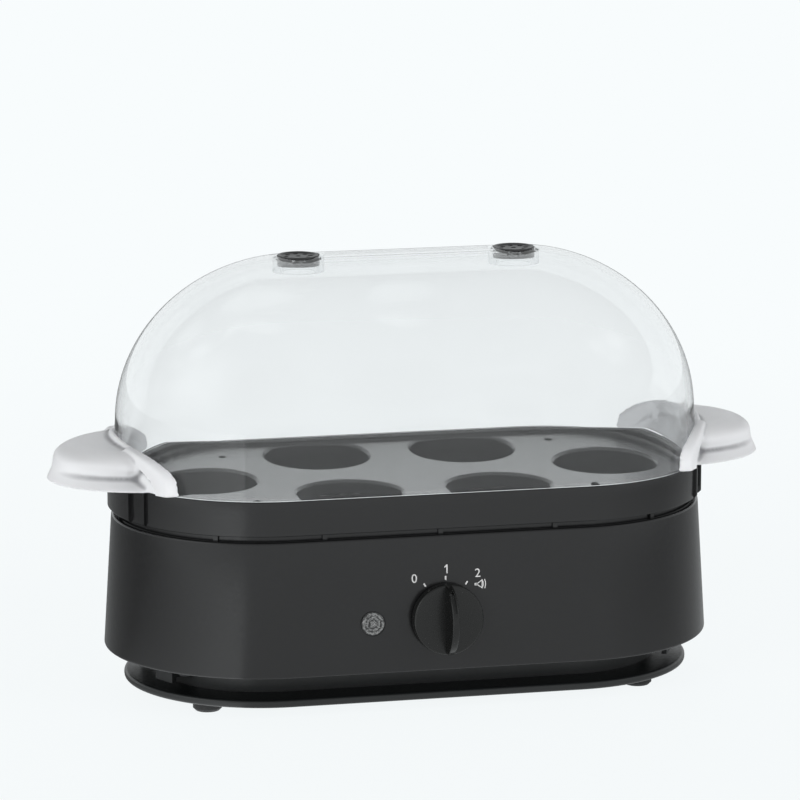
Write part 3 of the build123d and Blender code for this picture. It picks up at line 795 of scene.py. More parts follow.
@dataclass(frozen=True)
class Steel:
    """Bare metal with a drawn or brushed grain."""

    name: str
    colour: Point
    roughness: float
    stretch: Point = (0.12, 1.0, 1.0)
    grain: float = 1200.0
    grain_depth: float = 0.000015
    stain: float = 40.0
    mottle: Flat = (0.9, 1.06)
    roughness_share: Flat = (0.8, 1.25)

    def build(self) -> bpy.types.Material:
        """Make the material.

        Returns:
            The material.
        """
        sheet = Sheet(self.name)
        lines = sheet.noise(self.grain, 3.0, self.stretch)
        stain = sheet.noise(self.stain, 3.0)
        inputs = {
            "Base Color": sheet.shade(stain, *(tint(self.colour, factor) for factor in self.mottle)),
            "Metallic": 1.0,
            "Roughness": sheet.spread(lines, *(self.roughness * share for share in self.roughness_share)),
            "Normal": sheet.bump(lines, self.grain_depth),
        }
        return sheet.coat(inputs)


@dataclass(frozen=True)
class FloorFinish:
    """Pale floor that keeps the object's shadow and fades into plain white; from beneath it is see-through."""

    name: str = "studio_floor"
    near_colour: Point = (0.93, 0.945, 0.95)
    glow_near: float = 0.93
    fade_from: float = 0.2
    fade_to: float = 0.75
    band_half: float = 0.0497
    band_peak: float = 2.0
    bands: Sequence[Flat] = (
        (-180.0, 0.25),
        (-110.0, 0.25),
        (-40.0, 1.6),
        (-25.0, 1.7),
        (-24.0, 0.9),
        (23.0, 0.9),
        (75.0, 0.5),
        (180.0, 0.3),
    )

    def reflected(self, sheet: Sheet) -> Socket:
        """Strength of the floor in reflections, set by the bands of angles round the caps' axes.

        Args:
            sheet: The floor's nodes.

        Returns:
            The strength.
        """
        spot = sheet.add("ShaderNodeSeparateXYZ", {0: sheet.place()}).outputs
        beyond = sheet.calc("SUBTRACT", sheet.calc("ABSOLUTE", spot["X"]), self.band_half, clamp=True)
        across = sheet.calc("MULTIPLY", beyond, sheet.calc("SIGN", spot["X"]))
        angle = sheet.calc("ARCTAN2", across, sheet.calc("MULTIPLY", spot["Y"], -1.0))
        ramp = sheet.add("ShaderNodeValToRGB", {"Fac": sheet.ramp(angle, -math.pi, math.pi)})
        stops = ramp.color_ramp.elements
        for index, (degrees, level) in enumerate(self.bands):
            place = degrees / FULL_TURN + 0.5
            stop = stops[index] if index < 2 else stops.new(place)
            stop.position = place
            stop.color = (level / self.band_peak,) * 3 + (1.0,)
        return sheet.ramp(ramp.outputs["Color"], high=self.band_peak)

    def build(self) -> bpy.types.Material:
        """Make the material.

        Returns:
            The material.
        """
        sheet = Sheet(self.name)
        path = sheet.add("ShaderNodeLightPath").outputs
        gloss, through = path["Is Glossy Ray"], path["Is Transmission Ray"]
        strength = sheet.ramp(sheet.calc("SUBTRACT", gloss, through, clamp=True), low=1.0, high=self.reflected(sheet))
        glow = sheet.add("ShaderNodeEmission", {"Color": (*WHITE, 1.0), "Strength": strength}).outputs[0]
        away = sheet.measure("LENGTH", sheet.place())
        fade = sheet.ramp(away, self.fade_from, self.fade_to, low=self.glow_near, soft=True)
        seen = sheet.calc("MAXIMUM", sheet.calc("MAXIMUM", path["Is Camera Ray"], gloss), through)
        paper = sheet.add("ShaderNodeBsdfDiffuse", {"Color": (*self.near_colour, 1.0)}).outputs["BSDF"]
        above = sheet.mix(sheet.calc("MULTIPLY", seen, fade), paper, glow)
        under = sheet.add("ShaderNodeNewGeometry").outputs["Backfacing"]
        return sheet.finish(sheet.mix(under, above, sheet.add("ShaderNodeBsdfTransparent").outputs[0]))


class Finish(Enum):
    """Every finish on the object, by the record's material slot."""

    BODY = ("body_black", Moulded("gloss_black_plastic", (0.0068, 0.0068, 0.0072), 0.2, index=1.47))
    BASE = ("base_black", Moulded("satin_black_plastic", (0.006, 0.0068, 0.007), 0.34))
    TRAY = ("tray_black", Moulded("tray_black_plastic", (0.0072, 0.0072, 0.0076), 0.22))
    KNOB = ("knob_black", Moulded("grained_black_plastic", (0.005, 0.0052, 0.005), 0.28, grain=2200.0, index=1.44))
    LID = (
        "lid_clear",
        Clear("clear_plastic", (0.995, 0.998, 0.999), 0.012, body_colour=(0.9, 0.91, 0.915), density=100.0),
    )
    HANDLE = (
        "handle_frosted",
        Clear(
            "frosted_plastic",
            (0.93, 0.935, 0.948),
            0.5,
            frost=0.56,
            shadow=0.7,
            # Painted shade in the handles' creases.
            crease_shade_colour=(0.2, 0.2, 0.21),
            # Painted shade on the faces turned up.
            top_shade=0.86,
        ),
    )
    VENT = ("vent_black", Moulded("vent_plastic", (0.02, 0.02, 0.021), 0.38))
    LENS = ("lens_clear", Prismatic("lens_plastic", (0.03, 0.031, 0.031), (0.235, 0.24, 0.24)))
    DISH = ("dish_steel", Steel("pressed_steel", (0.62, 0.62, 0.61), 0.24))
    PLATED = ("plain_steel", Steel("zinc_plated_sheet", (0.55, 0.55, 0.56), 0.34))
    SCREW = ("screw_steel", Steel("zinc_plated_screws", (0.5, 0.5, 0.52), 0.3))
    SPREADER = ("spreader_aluminium", Steel("rolled_aluminium", (0.75, 0.75, 0.76), 0.3))
    ELEMENT = ("element_steel", Steel("heat_darkened_tube", (0.2, 0.19, 0.18), 0.42))
    FOOT = ("foot_rubber", Moulded("foot_rubber", (0.014, 0.0145, 0.015), 0.62, grain=3000.0))
    SEAL = ("seal_silicone", Moulded("seal_silicone", (0.42, 0.4, 0.38), 0.5))
    GLAND = ("gland_black", Moulded("bush_rubber", (0.012, 0.012, 0.012), 0.5))
    HOLDER = ("switch_plastic", Moulded("heat_resistant_plastic", (0.6, 0.57, 0.5), 0.45))
    BOARD = ("board_green", Moulded("lacquered_laminate", (0.02, 0.09, 0.04), 0.3))
    LAMP = ("lamp_glass", Clear("lamp_glass", (0.95, 0.7, 0.55), 0.03, index=1.5))
    FUSE = ("fuse_metal", Steel("tinned_case", (0.6, 0.52, 0.36), 0.35))

    PRINT = ("switch_plastic", Moulded("dial_ink", (0.58, 0.58, 0.58), 0.5))
    # Screws under the body made near black, as dark as the recess they sit in.
    DARKENED = ("screw_steel", Steel("darkened_screws", (0.035, 0.035, 0.037), 0.4))

    def __init__(self, slot: str, recipe: object) -> None:
        """Keep the slot's name and the recipe."""
        self.slot = slot
        self.recipe = recipe


class Paint:
    """Makes each finish once and puts it on pieces."""

    made: dict[Finish, bpy.types.Material] = {}

    @classmethod
    def material(cls, finish: Finish) -> bpy.types.Material:
        """Find the material of a finish, made on first use.

        Args:
            finish: The finish.

        Returns:
            The material.
        """
        if finish not in cls.made:
            cls.made[finish] = finish.recipe.build()
        return cls.made[finish]

    @classmethod
    def dress(cls, piece: Piece, finish: Finish) -> None:
        """Give a piece one finish all over.

        Args:
            piece: The piece or CAD node.
            finish: Its finish.
        """
        if piece.data.materials:
            for index in range(len(piece.data.materials)):
                piece.data.materials[index] = cls.material(finish)
        else:
            piece.data.materials.append(cls.material(finish))


def install(piece: Piece, body: Body, finish: Finish, *nodes: str) -> Piece:
    """Dress a finished piece, join it to its body and hide what it stands for.

    Args:
        piece: The piece.
        body: The body that it moves with.
        finish: Its finish.
        nodes: The CAD nodes that it replaces.

    Returns:
        The piece.
    """
    deselect_all()
    piece.data.name = piece.name
    Paint.dress(piece, finish)
    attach(piece, body.value)
    if nodes:
        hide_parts(*nodes)
    LOG.info("%s: %d faces on %s", piece.name, len(piece.data.polygons), body.value)
    return piece


# Sub-assemblies


def plan_of(node: str) -> Plan:
    """The racetrack of a CAD node whose ends are half circles."""
    low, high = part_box(node)
    return Plan((high.x - low.x - (high.y - low.y)) / 2, (high.y + low.y) / 2)


def panel_place(x: float = 0.0, y: float = 0.0) -> Matrix:
    """Frame on the sloping front, local Z outwards and local Y up.

    Args:
        x: Offset from the knob's axis to the right.
        y: Offset up the panel.

    Returns:
        Its matrix.
    """
    joints = frame["record"]["behaviour"]["joints"]
    joint = next(item for item in joints if item["name"] == "knob_turn")
    out = Vector(joint["axis"]).normalized()
    right = Vector((1.0, 0.0, 0.0))
    up = out.cross(right)
    turn = Matrix((right, up, out)).transposed().to_4x4()
    return Matrix.Translation(Vector(joint["pos_m"]) + right * x + up * y) @ turn


@dataclass
class Housing:
    """Body shell and the plate under it."""

    plan: Plan
    wall: float = 0.0022
    bottom_round: float = 0.0010
    top_round: float = 0.0008
    rim_depth: float = 0.0060
    flare: float = 0.0028
    ledge_width: float = 0.0052
    ledge_thickness: float = 0.0020
    plate_round: float = 0.0011
    knob_hole: float = 0.00455
    lens_hole: float = 0.00302
    lens_seat: float = 0.00425
    hole_length: float = 0.0120
    screw_offset: float = 0.02015
    screw_seat: float = 0.0031
    screw_hole: float = 0.0016
    screw_sides: int = 32
    crease: float = 30.0

    def shell(self) -> Piece:
        """Flared shell with a rounded lower lip and the ledge for the dish.

        Returns:
            The shell.
        """
        low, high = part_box("body_shell")
        bottom = (high.y - low.y) / 2
        top = bottom - self.flare
        pocket = top - self.wall
        ledge = pocket - self.ledge_width
        step = high.z - self.rim_depth
        under = step - self.ledge_thickness
        inner_under = bottom - self.wall - self.flare * (under - low.z) / (high.z - low.z)
        corners = [
            Corner(bottom, low.z, self.bottom_round, 6),
            Corner(top, high.z, self.top_round, 5),
            Corner(pocket, high.z, self.top_round / 2, 3),
            Corner(pocket, step),
            Corner(ledge, step),
            Corner(ledge, under),
            Corner(inner_under, under),
            Corner(bottom - self.wall, low.z, self.bottom_round / 2, 3),
        ]
        piece = self.plan.sweep("body_moulding", corners)
        lens = (Panel.lens_x, Panel.lens_y)
        holes = [
            (self.knob_hole, -self.hole_length, (0.0, 0.0)),
            (self.lens_hole, -self.hole_length, lens),
            (self.lens_seat, -Panel.lens_sunk, lens),
        ]
        for radius, depth, spot in holes:
            bar = cylinder("panel_hole", radius, depth, self.hole_length)
            combine(piece, place_by(bar, panel_place(*spot)), Cut.DIFFERENCE)
        return smooth(piece, self.crease)

    def plate(self) -> Piece:
        """Base plate with both edges rounded.

        Returns:
            The base plate.
        """
        low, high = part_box("base_plate")
        edge = (high.y - low.y) / 2
        corners = [
            Corner(0.0, high.z),
            Corner(edge, high.z, self.plate_round, 6),
            Corner(edge, low.z, self.plate_round, 6),
            Corner(0.0, low.z),
        ]
        piece = self.plan.sweep("base_plate_moulding", corners, closed=False)
        seat = (low.z + high.z) / 2
        for side_x in (-1, 1):
            for side_y in (-1, 1):
                x = side_x * (self.plan.half_length + self.screw_offset)
                y = self.plan.centre_y + side_y * self.screw_offset
                for radius, top in ((self.screw_seat, seat), (self.screw_hole, 2 * high.z)):
                    drill(piece, radius, low.z - self.plate_round, top, x, y, self.screw_sides)
        return smooth(piece, self.crease)

    def build(self) -> None:
        """Make and dress the pieces."""
        install(self.shell(), Body.HOUSING, Finish.BODY, "body_shell")
        install(self.plate(), Body.HOUSING, Finish.BASE, "base_plate")


@dataclass
class Tray:
    """Lift-out egg tray."""

    plan: Plan
    wall: float = 0.0018
    deck_drop: float = 0.0028
    deck_thickness: float = 0.0018
    border_step: float = 0.0008
    border_width: float = 0.0030
    band_height: float = 0.0117
    skirt_gap: float = 0.0005
    body_wall: float = 0.0022
    edge_round: float = 0.0004
    seat_radius: float = 0.01775
    seat_pitch: float = 0.0510
    collar_wall: float = 0.0016
    collar_depth: float = 0.0040
    seat_chamfer: float = 0.0008
    seat_sides: int = 72
    hole_radius: float = 0.0015
    hole_sides: int = 24
    cut_past: float = 0.004
    holes: Sequence[Flat] = ((0.005, 0.0405), (0.0577, 0.030))
    tab_proud: float = 0.0011
    tab_chamfer: float = 0.0009
    tab_half_angle: float = 20.0
    tab_rib_angle: float = 29.0
    tab_rib_width: float = 0.0010
    rest_width: float = 0.0016
    rest_inset: float = 0.0018
    rest_angle: float = 60.0
    rest_x: float = 0.0390
    seam_gap: float = 0.0020
    seat_angle: float = 60.0
    crease: float = 30.0

    def rim_radius(self) -> float:
        """Outer radius of the band, without the grips."""
        low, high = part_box("egg_tray")
        return (high.y - low.y) / 2

    def moulding(self) -> Piece:
        """Band, stepped deck and skirt in one section.

        Returns:
            The moulding.
        """
        low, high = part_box("egg_tray")
        rim = self.rim_radius()
        inner = rim - self.wall
        deck = high.z - self.deck_drop
        border = inner - self.border_width
        skirt = rim - self.body_wall - self.skirt_gap
        under = deck - self.deck_thickness
        band_low = high.z - self.band_height
        corners = [
            Corner(0.0, deck),
            Corner(border, deck),
            Corner(border + self.border_step / 2, deck + self.border_step, self.border_step / 2, 3),
            Corner(inner, deck + self.border_step),
            Corner(inner, high.z, self.edge_round, 3),
            Corner(rim, high.z, self.edge_round, 3),
            Corner(rim, band_low, self.edge_round, 3),
            Corner(inner, band_low, self.edge_round, 3),
            Corner(inner, under),
            Corner(skirt, under),
            Corner(skirt, low.z),
            Corner(skirt - self.wall, low.z),
            Corner(skirt - self.wall, under),
            Corner(0.0, under),
        ]
        return self.plan.sweep("egg_tray_moulding", corners, closed=False)

    def seat_centres(self) -> list[Flat]:
        """The six egg seats, neighbours one pitch apart.

        Returns:
            Their centres in plan.
        """
        half = self.seat_pitch / 2
        end = half + self.seat_pitch * math.sin(math.radians(self.seat_angle))
        middle = self.plan.centre_y
        return [(x, middle + y) for x in (-half, half) for y in (-half, half)] + [(-end, middle), (end, middle)]

    def cut_seats(self, piece: Piece) -> None:
        """Add the collars and open the seats and steam holes.

        Args:
            piece: The tray.
        """
        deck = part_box("egg_tray")[1].z - self.deck_drop
        for x, y in self.seat_centres():
            collar = self.seat_radius + self.collar_wall
            low, high = deck - self.collar_depth, deck - self.deck_thickness / 2
            combine(piece, cylinder("collar", collar, low, high, x, y, self.seat_sides), Cut.UNION)
        for x, y in self.seat_centres():
            combine(piece, self.seat_cutter(x, y, deck), Cut.DIFFERENCE)
        for along, across in self.holes:
            for x in (-along, along):
                for y in (-across, across):
                    low, high = deck - self.cut_past, deck + self.cut_past
                    drill(piece, self.hole_radius, low, high, x, self.plan.centre_y + y, self.hole_sides)

    def seat_cutter(self, x: float, y: float, deck: float) -> Piece:
        """Bar as wide as a seat that widens at the deck.

        Args:
            x: Place of the seat.
            y: Place of the seat.
            deck: Level of the deck.

        Returns:
            The cutter.
        """
        top = deck - self.seat_chamfer
        bar = cylinder("seat", self.seat_radius, deck - 2 * self.collar_depth, top, x, y, self.seat_sides)
        edit(bar)
        pick(bar, lambda p: abs(p.z - top) < NEAR)
        for rise in (self.seat_chamfer, self.collar_depth):
            extrude((0, 0, rise))
            scale = (self.seat_radius + rise) / self.seat_radius
            bpy.ops.transform.resize(value=(scale, scale, 1), center_override=(x, y, 0))
        bpy.ops.object.mode_set(mode="OBJECT")
        return bar

    def grips(self, piece: Piece) -> None:
        """Add the raised grip and its two ribs at each end.

        Args:
            piece: The tray.
        """
        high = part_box("egg_tray")[1].z
        low = high - self.band_height
        rim = self.rim_radius()
        for side in (-1, 1):
            grip = self.sector(rim + self.tab_proud, rim - self.wall / 2, low, high, side, 0.0, self.tab_half_angle)
            combine(piece, grip, Cut.UNION)
            for turn in (-self.tab_rib_angle, self.tab_rib_angle):
                half = math.degrees(self.tab_rib_width / 2 / rim)
                outer = rim + self.wall / 2
                rib = self.sector(outer, rim - self.wall / 2, low, high, side, turn, half)
                combine(piece, rib, Cut.UNION)

    def rests(self, piece: Piece) -> None:
        """Add the ribs on the skirt that carry the tray on the body's top edge.

        Args:
            piece: The tray.
        """
        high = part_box("egg_tray")[1].z
        low, top = high - self.band_height - self.seam_gap, high - self.deck_drop - self.deck_thickness / 2
        outer = self.rim_radius() - self.rest_inset
        inner = self.rim_radius() - self.body_wall - self.skirt_gap - self.wall / 2
        half = math.degrees(self.rest_width / 2 / outer)
        for side in (-1, 1):
            for turn in (-self.rest_angle, 0.0, self.rest_angle):
                combine(piece, self.sector(outer, inner, low, top, side, turn, half, 0.0), Cut.UNION)
            for x in (-self.rest_x, 0.0, self.rest_x):
                place = (x, self.plan.centre_y + side * (outer + inner) / 2, (low + top) / 2)
                combine(piece, block(place, (self.rest_width, outer - inner, top - low)), Cut.UNION)

    def sector(
        self,
        outer: float,
        inner: float,
        low: float,
        high: float,
        side: int,
        turn: float,
        half_angle: float,
        chamfer: Optional[float] = None,
    ) -> Piece:
        """Part of a ring round one cap's axis.

        Args:
            outer: Outer radius.
            inner: Inner radius.
            low: Lower level.
            high: Upper level.
            side: 1 for the right cap and -1 for the left one.
            turn: Angle of its middle from the X axis, in degrees.
            half_angle: Half of the angle that it covers.
            chamfer: Chamfer of its lower outer edge, the grip's own where it isn't given.

        Returns:
            The ring sector.
        """
        centre = Vector((side * self.plan.half_length, self.plan.centre_y, 0))
        deselect_all()
        middle = Vector(((outer + inner) / 2, 0, (low + high) / 2))
        bpy.ops.mesh.primitive_plane_add(size=1.0, rotation=(math.pi / 2, 0, 0), location=centre + middle)
        piece = bpy.context.object
        piece.name = "sector"
        piece.scale = (outer - inner, high - low, 1.0)
        settle(piece)
        edit(piece)
        edge = self.tab_chamfer if chamfer is None else chamfer
        if edge:
            pick(piece, lambda p: p.z < middle.z and p.x > centre.x + middle.x)
            bpy.ops.mesh.bevel(offset_type="OFFSET", offset=edge, segments=1, affect="VERTICES")
        bpy.ops.mesh.select_all(action="SELECT")
        start = turn - half_angle + (0 if side > 0 else FULL_TURN / 2)
        bpy.ops.transform.rotate(value=-math.radians(start), orient_axis="Z", center_override=tuple(centre))
        steps = max(2, round(half_angle))
        bpy.ops.mesh.spin(
            steps=steps, angle=-math.radians(2 * half_angle), center=tuple(centre), axis=(0, 0, 1)
        )
        tidy_mesh(piece)
        return piece

    def build(self) -> None:
        """Make and dress the tray."""
        piece = self.moulding()
        self.grips(piece)
        self.rests(piece)
        self.cut_seats(piece)
        tidy_mesh(piece)
        install(smooth(piece, self.crease), Body.TRAY, Finish.TRAY, "egg_tray")


@dataclass
class Lid:
    """Clear arched lid with its vents and side handles."""

    plan: Plan
    wall: float = 0.0018
    arch_radius: float = 0.0493
    arch_height: float = 0.0555
    crest_half: float = 0.0383
    foot_round: float = 0.0003
    lip_gap: float = 0.0004
    lip_wall: float = 0.0014
    lip_depth: float = 0.0012
    rim_height: float = 0.0012
    levels: int = 34
    vent_x: float = 0.0371
    vent_radius: float = 0.0071
    vent_gap: float = 0.00005
    vent_collar_wall: float = 0.0015
    vent_collar_depth: float = 0.0060
    vent_insert_height: float = 0.0040
    steps: int = 88
    solid_steps: int = 48
    ring_slack: float = 20 * NEAR
    merge: float = 5 * MERGE
    crease: float = 28.0

    def arc(self, radius: float, height: float, low: float) -> list[Corner]:
        """Quarter ellipse from the wall up to the crest.

        Args:
            radius: Its reach at the foot.
            height: Its rise.
            low: Level of its foot.

        Returns:
            Its points, foot first and without the crest.
        """
        angles = [math.pi / 2 * index / self.levels for index in range(self.levels)]
        return [Corner(radius * math.cos(a), low + height * math.sin(a)) for a in angles]

    def narrow(self, piece: Piece, radius: float, height: float, low: float) -> None:
        """Shorten the straight part level by level, so that the ends lean in as they rise.

        Args:
            piece: The lid in edit mode.
            radius: Reach of the surface's foot.
            height: Its rise.
            low: Level of its foot.
        """
        lean = self.plan.half_length - self.crest_half
        middle = self.plan.centre_y
        for index in range(1, self.levels + 1):
            angle = math.pi / 2 * index / self.levels
            level = low + height * math.sin(angle)
            reach = radius * math.cos(angle)
            for side in (-1, 1):
                cap = Vector((side * self.plan.half_length, middle, level))

                def on_ring(p: Vector) -> bool:
                    """Whether a point lies on this ring's end cap."""
                    off = math.hypot(max(0.0, side * (p.x - cap.x)), p.y - middle)
                    return side * p.x > 0 and abs(p.z - level) < NEAR and abs(off - reach) < self.ring_slack

                if pick(piece, on_ring):
                    inwards = -side * lean * (1 - math.cos(angle))
                    bpy.ops.transform.translate(value=(inwards, 0, 0))

    def dome(self) -> Piece:
        """Thin arched shell with its locating lip and vent collars.

        Returns:
            The dome.
        """
        low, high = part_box("lid_dome")
        foot = (high.y - low.y) / 2
        rim = low.z + self.lip_depth
        arch_low = high.z - self.arch_height
        lip = self.plan_lip(foot)
        inner = self.arch_radius - self.wall
        inner_height = self.arch_height - self.wall
        outside = self.arc(self.arch_radius, self.arch_height, arch_low)
        inside = self.arc(inner, inner_height, arch_low)
        top = [Corner(0.0, high.z)]
        under = [Corner(0.0, high.z - self.wall)]
        foot_corners = [
            Corner(lip - self.lip_wall, low.z, self.foot_round, 3),
            Corner(lip, low.z, self.foot_round, 3),
            Corner(lip, rim),
            Corner(foot, rim, self.foot_round, 3),
        ]
        inner_foot = [Corner(lip - self.lip_wall, rim + self.rim_height, 0.0)]
        corners = under + inside[::-1] + inner_foot + foot_corners + outside + top
        piece = self.plan.sweep("clear_lid", corners, closed=False, steps=self.steps)
        edit(piece)
        self.narrow(piece, self.arch_radius, self.arch_height, arch_low)
        self.narrow(piece, inner, inner_height, arch_low)
        tidy_mesh(piece, self.merge)
        self.open_vents(piece, high.z)
        return smooth(piece, self.crease)

    def solid(self, name: str, grow: float) -> Piece:
        """Full form inside the lid's outer surface, moved outwards by a distance.

        Args:
            name: Object name.
            grow: The distance.

        Returns:
            The solid.
        """
        low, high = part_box("lid_dome")
        arch_low = high.z - self.arch_height
        radius, height = self.arch_radius + grow, self.arch_height + grow
        foot = (high.y - low.y) / 2 + grow
        corners = [Corner(0.0, low.z - self.vent_collar_depth), Corner(foot, low.z - self.vent_collar_depth)]
        corners += [Corner(foot, low.z + self.lip_depth)] + self.arc(radius, height, arch_low)
        corners += [Corner(0.0, arch_low + height)]
        piece = self.plan.sweep(name, corners, closed=False, steps=self.solid_steps)
        edit(piece)
        self.narrow(piece, radius, height, arch_low)
        tidy_mesh(piece, self.merge)
        return piece

    def plan_lip(self, foot: float) -> float:
        """Find the outer radius of the lip that drops into the tray's band.

        Args:
            foot: Radius that the lip can't exceed.

        Returns:
            The radius.
        """
        tray_low, tray_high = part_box("egg_tray")
        band_inner = (tray_high.y - tray_low.y) / 2 - self.wall
        return min(band_inner - self.lip_gap, foot)

    def open_vents(self, piece: Piece, crest: float) -> None:
        """Add the two collars and bore them.

        Args:
            piece: The lid.
            crest: Level of the crest.
        """
        bore = self.vent_radius + self.vent_gap
        collar = bore + self.vent_collar_wall
        middle = self.plan.centre_y
        fall = self.arch_height * (1 - math.sqrt(1 - (collar / self.arch_radius) ** 2))
        top = crest - fall - self.foot_round
        for x in (-self.vent_x, self.vent_x):
            combine(piece, cylinder("collar", collar, crest - self.vent_collar_depth, top, x, middle), Cut.UNION)
        for x in (-self.vent_x, self.vent_x):
            seat = crest - self.vent_insert_height
            drill(piece, bore, seat, crest + self.wall, x, middle)
            way = self.vent_radius - self.vent_collar_wall
            low = crest - 2 * self.vent_collar_depth
            drill(piece, way, low, seat + self.wall, x, middle)

    def build(self) -> None:
        """Make and dress the lid."""
        install(self.dome(), Body.LID, Finish.LID, "lid_dome")


@dataclass
class Vents:
    """Perforated plugs in the crest of the lid."""

    round: float = 0.0004
    dish: float = 0.0005
    hole_radius: float = 0.0009
    hole_ring: float = 0.0042
    hole_count: int = 8
    hole_sides: int = 20
    cut_past: float = 0.002
    crease: float = 32.0

    def plug(self, node: str) -> Piece:
        """One plug with a slightly sunk face and its through holes.

        Args:
            node: The CAD node that it stands for.

        Returns:
            The plug.
        """
        low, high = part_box(node)
        middle = (low + high) / 2
        radius = (high.x - low.x) / 2
        rim = radius - 3 * self.round
        corners = [
            Corner(0.0, high.z - self.dish),
            Corner(rim - self.dish, high.z - self.dish, self.round, 3),
            Corner(rim, high.z, self.round, 3),
            Corner(radius, high.z, self.round, 4),
            Corner(radius, low.z, self.round, 3),
            Corner(0.0, low.z),
        ]
        piece = turned(node + "_plug", corners)
        piece.location = (middle.x, middle.y, 0.0)
        settle(piece)
        spots = [(0.0, 0.0)]
        for index in range(self.hole_count):
            angle = 2 * math.pi * index / self.hole_count
            spots.append((self.hole_ring * math.cos(angle), self.hole_ring * math.sin(angle)))
        for x, y in spots:
            ends = (low.z - self.cut_past, high.z + self.cut_past)
            drill(piece, self.hole_radius, *ends, middle.x + x, middle.y + y, self.hole_sides)
        return smooth(piece, self.crease)

    def build(self) -> None:
        """Make and dress both plugs."""
        for node in ("vent_insert_left", "vent_insert_right"):
            install(self.plug(node), Body.LID, Finish.VENT, node)


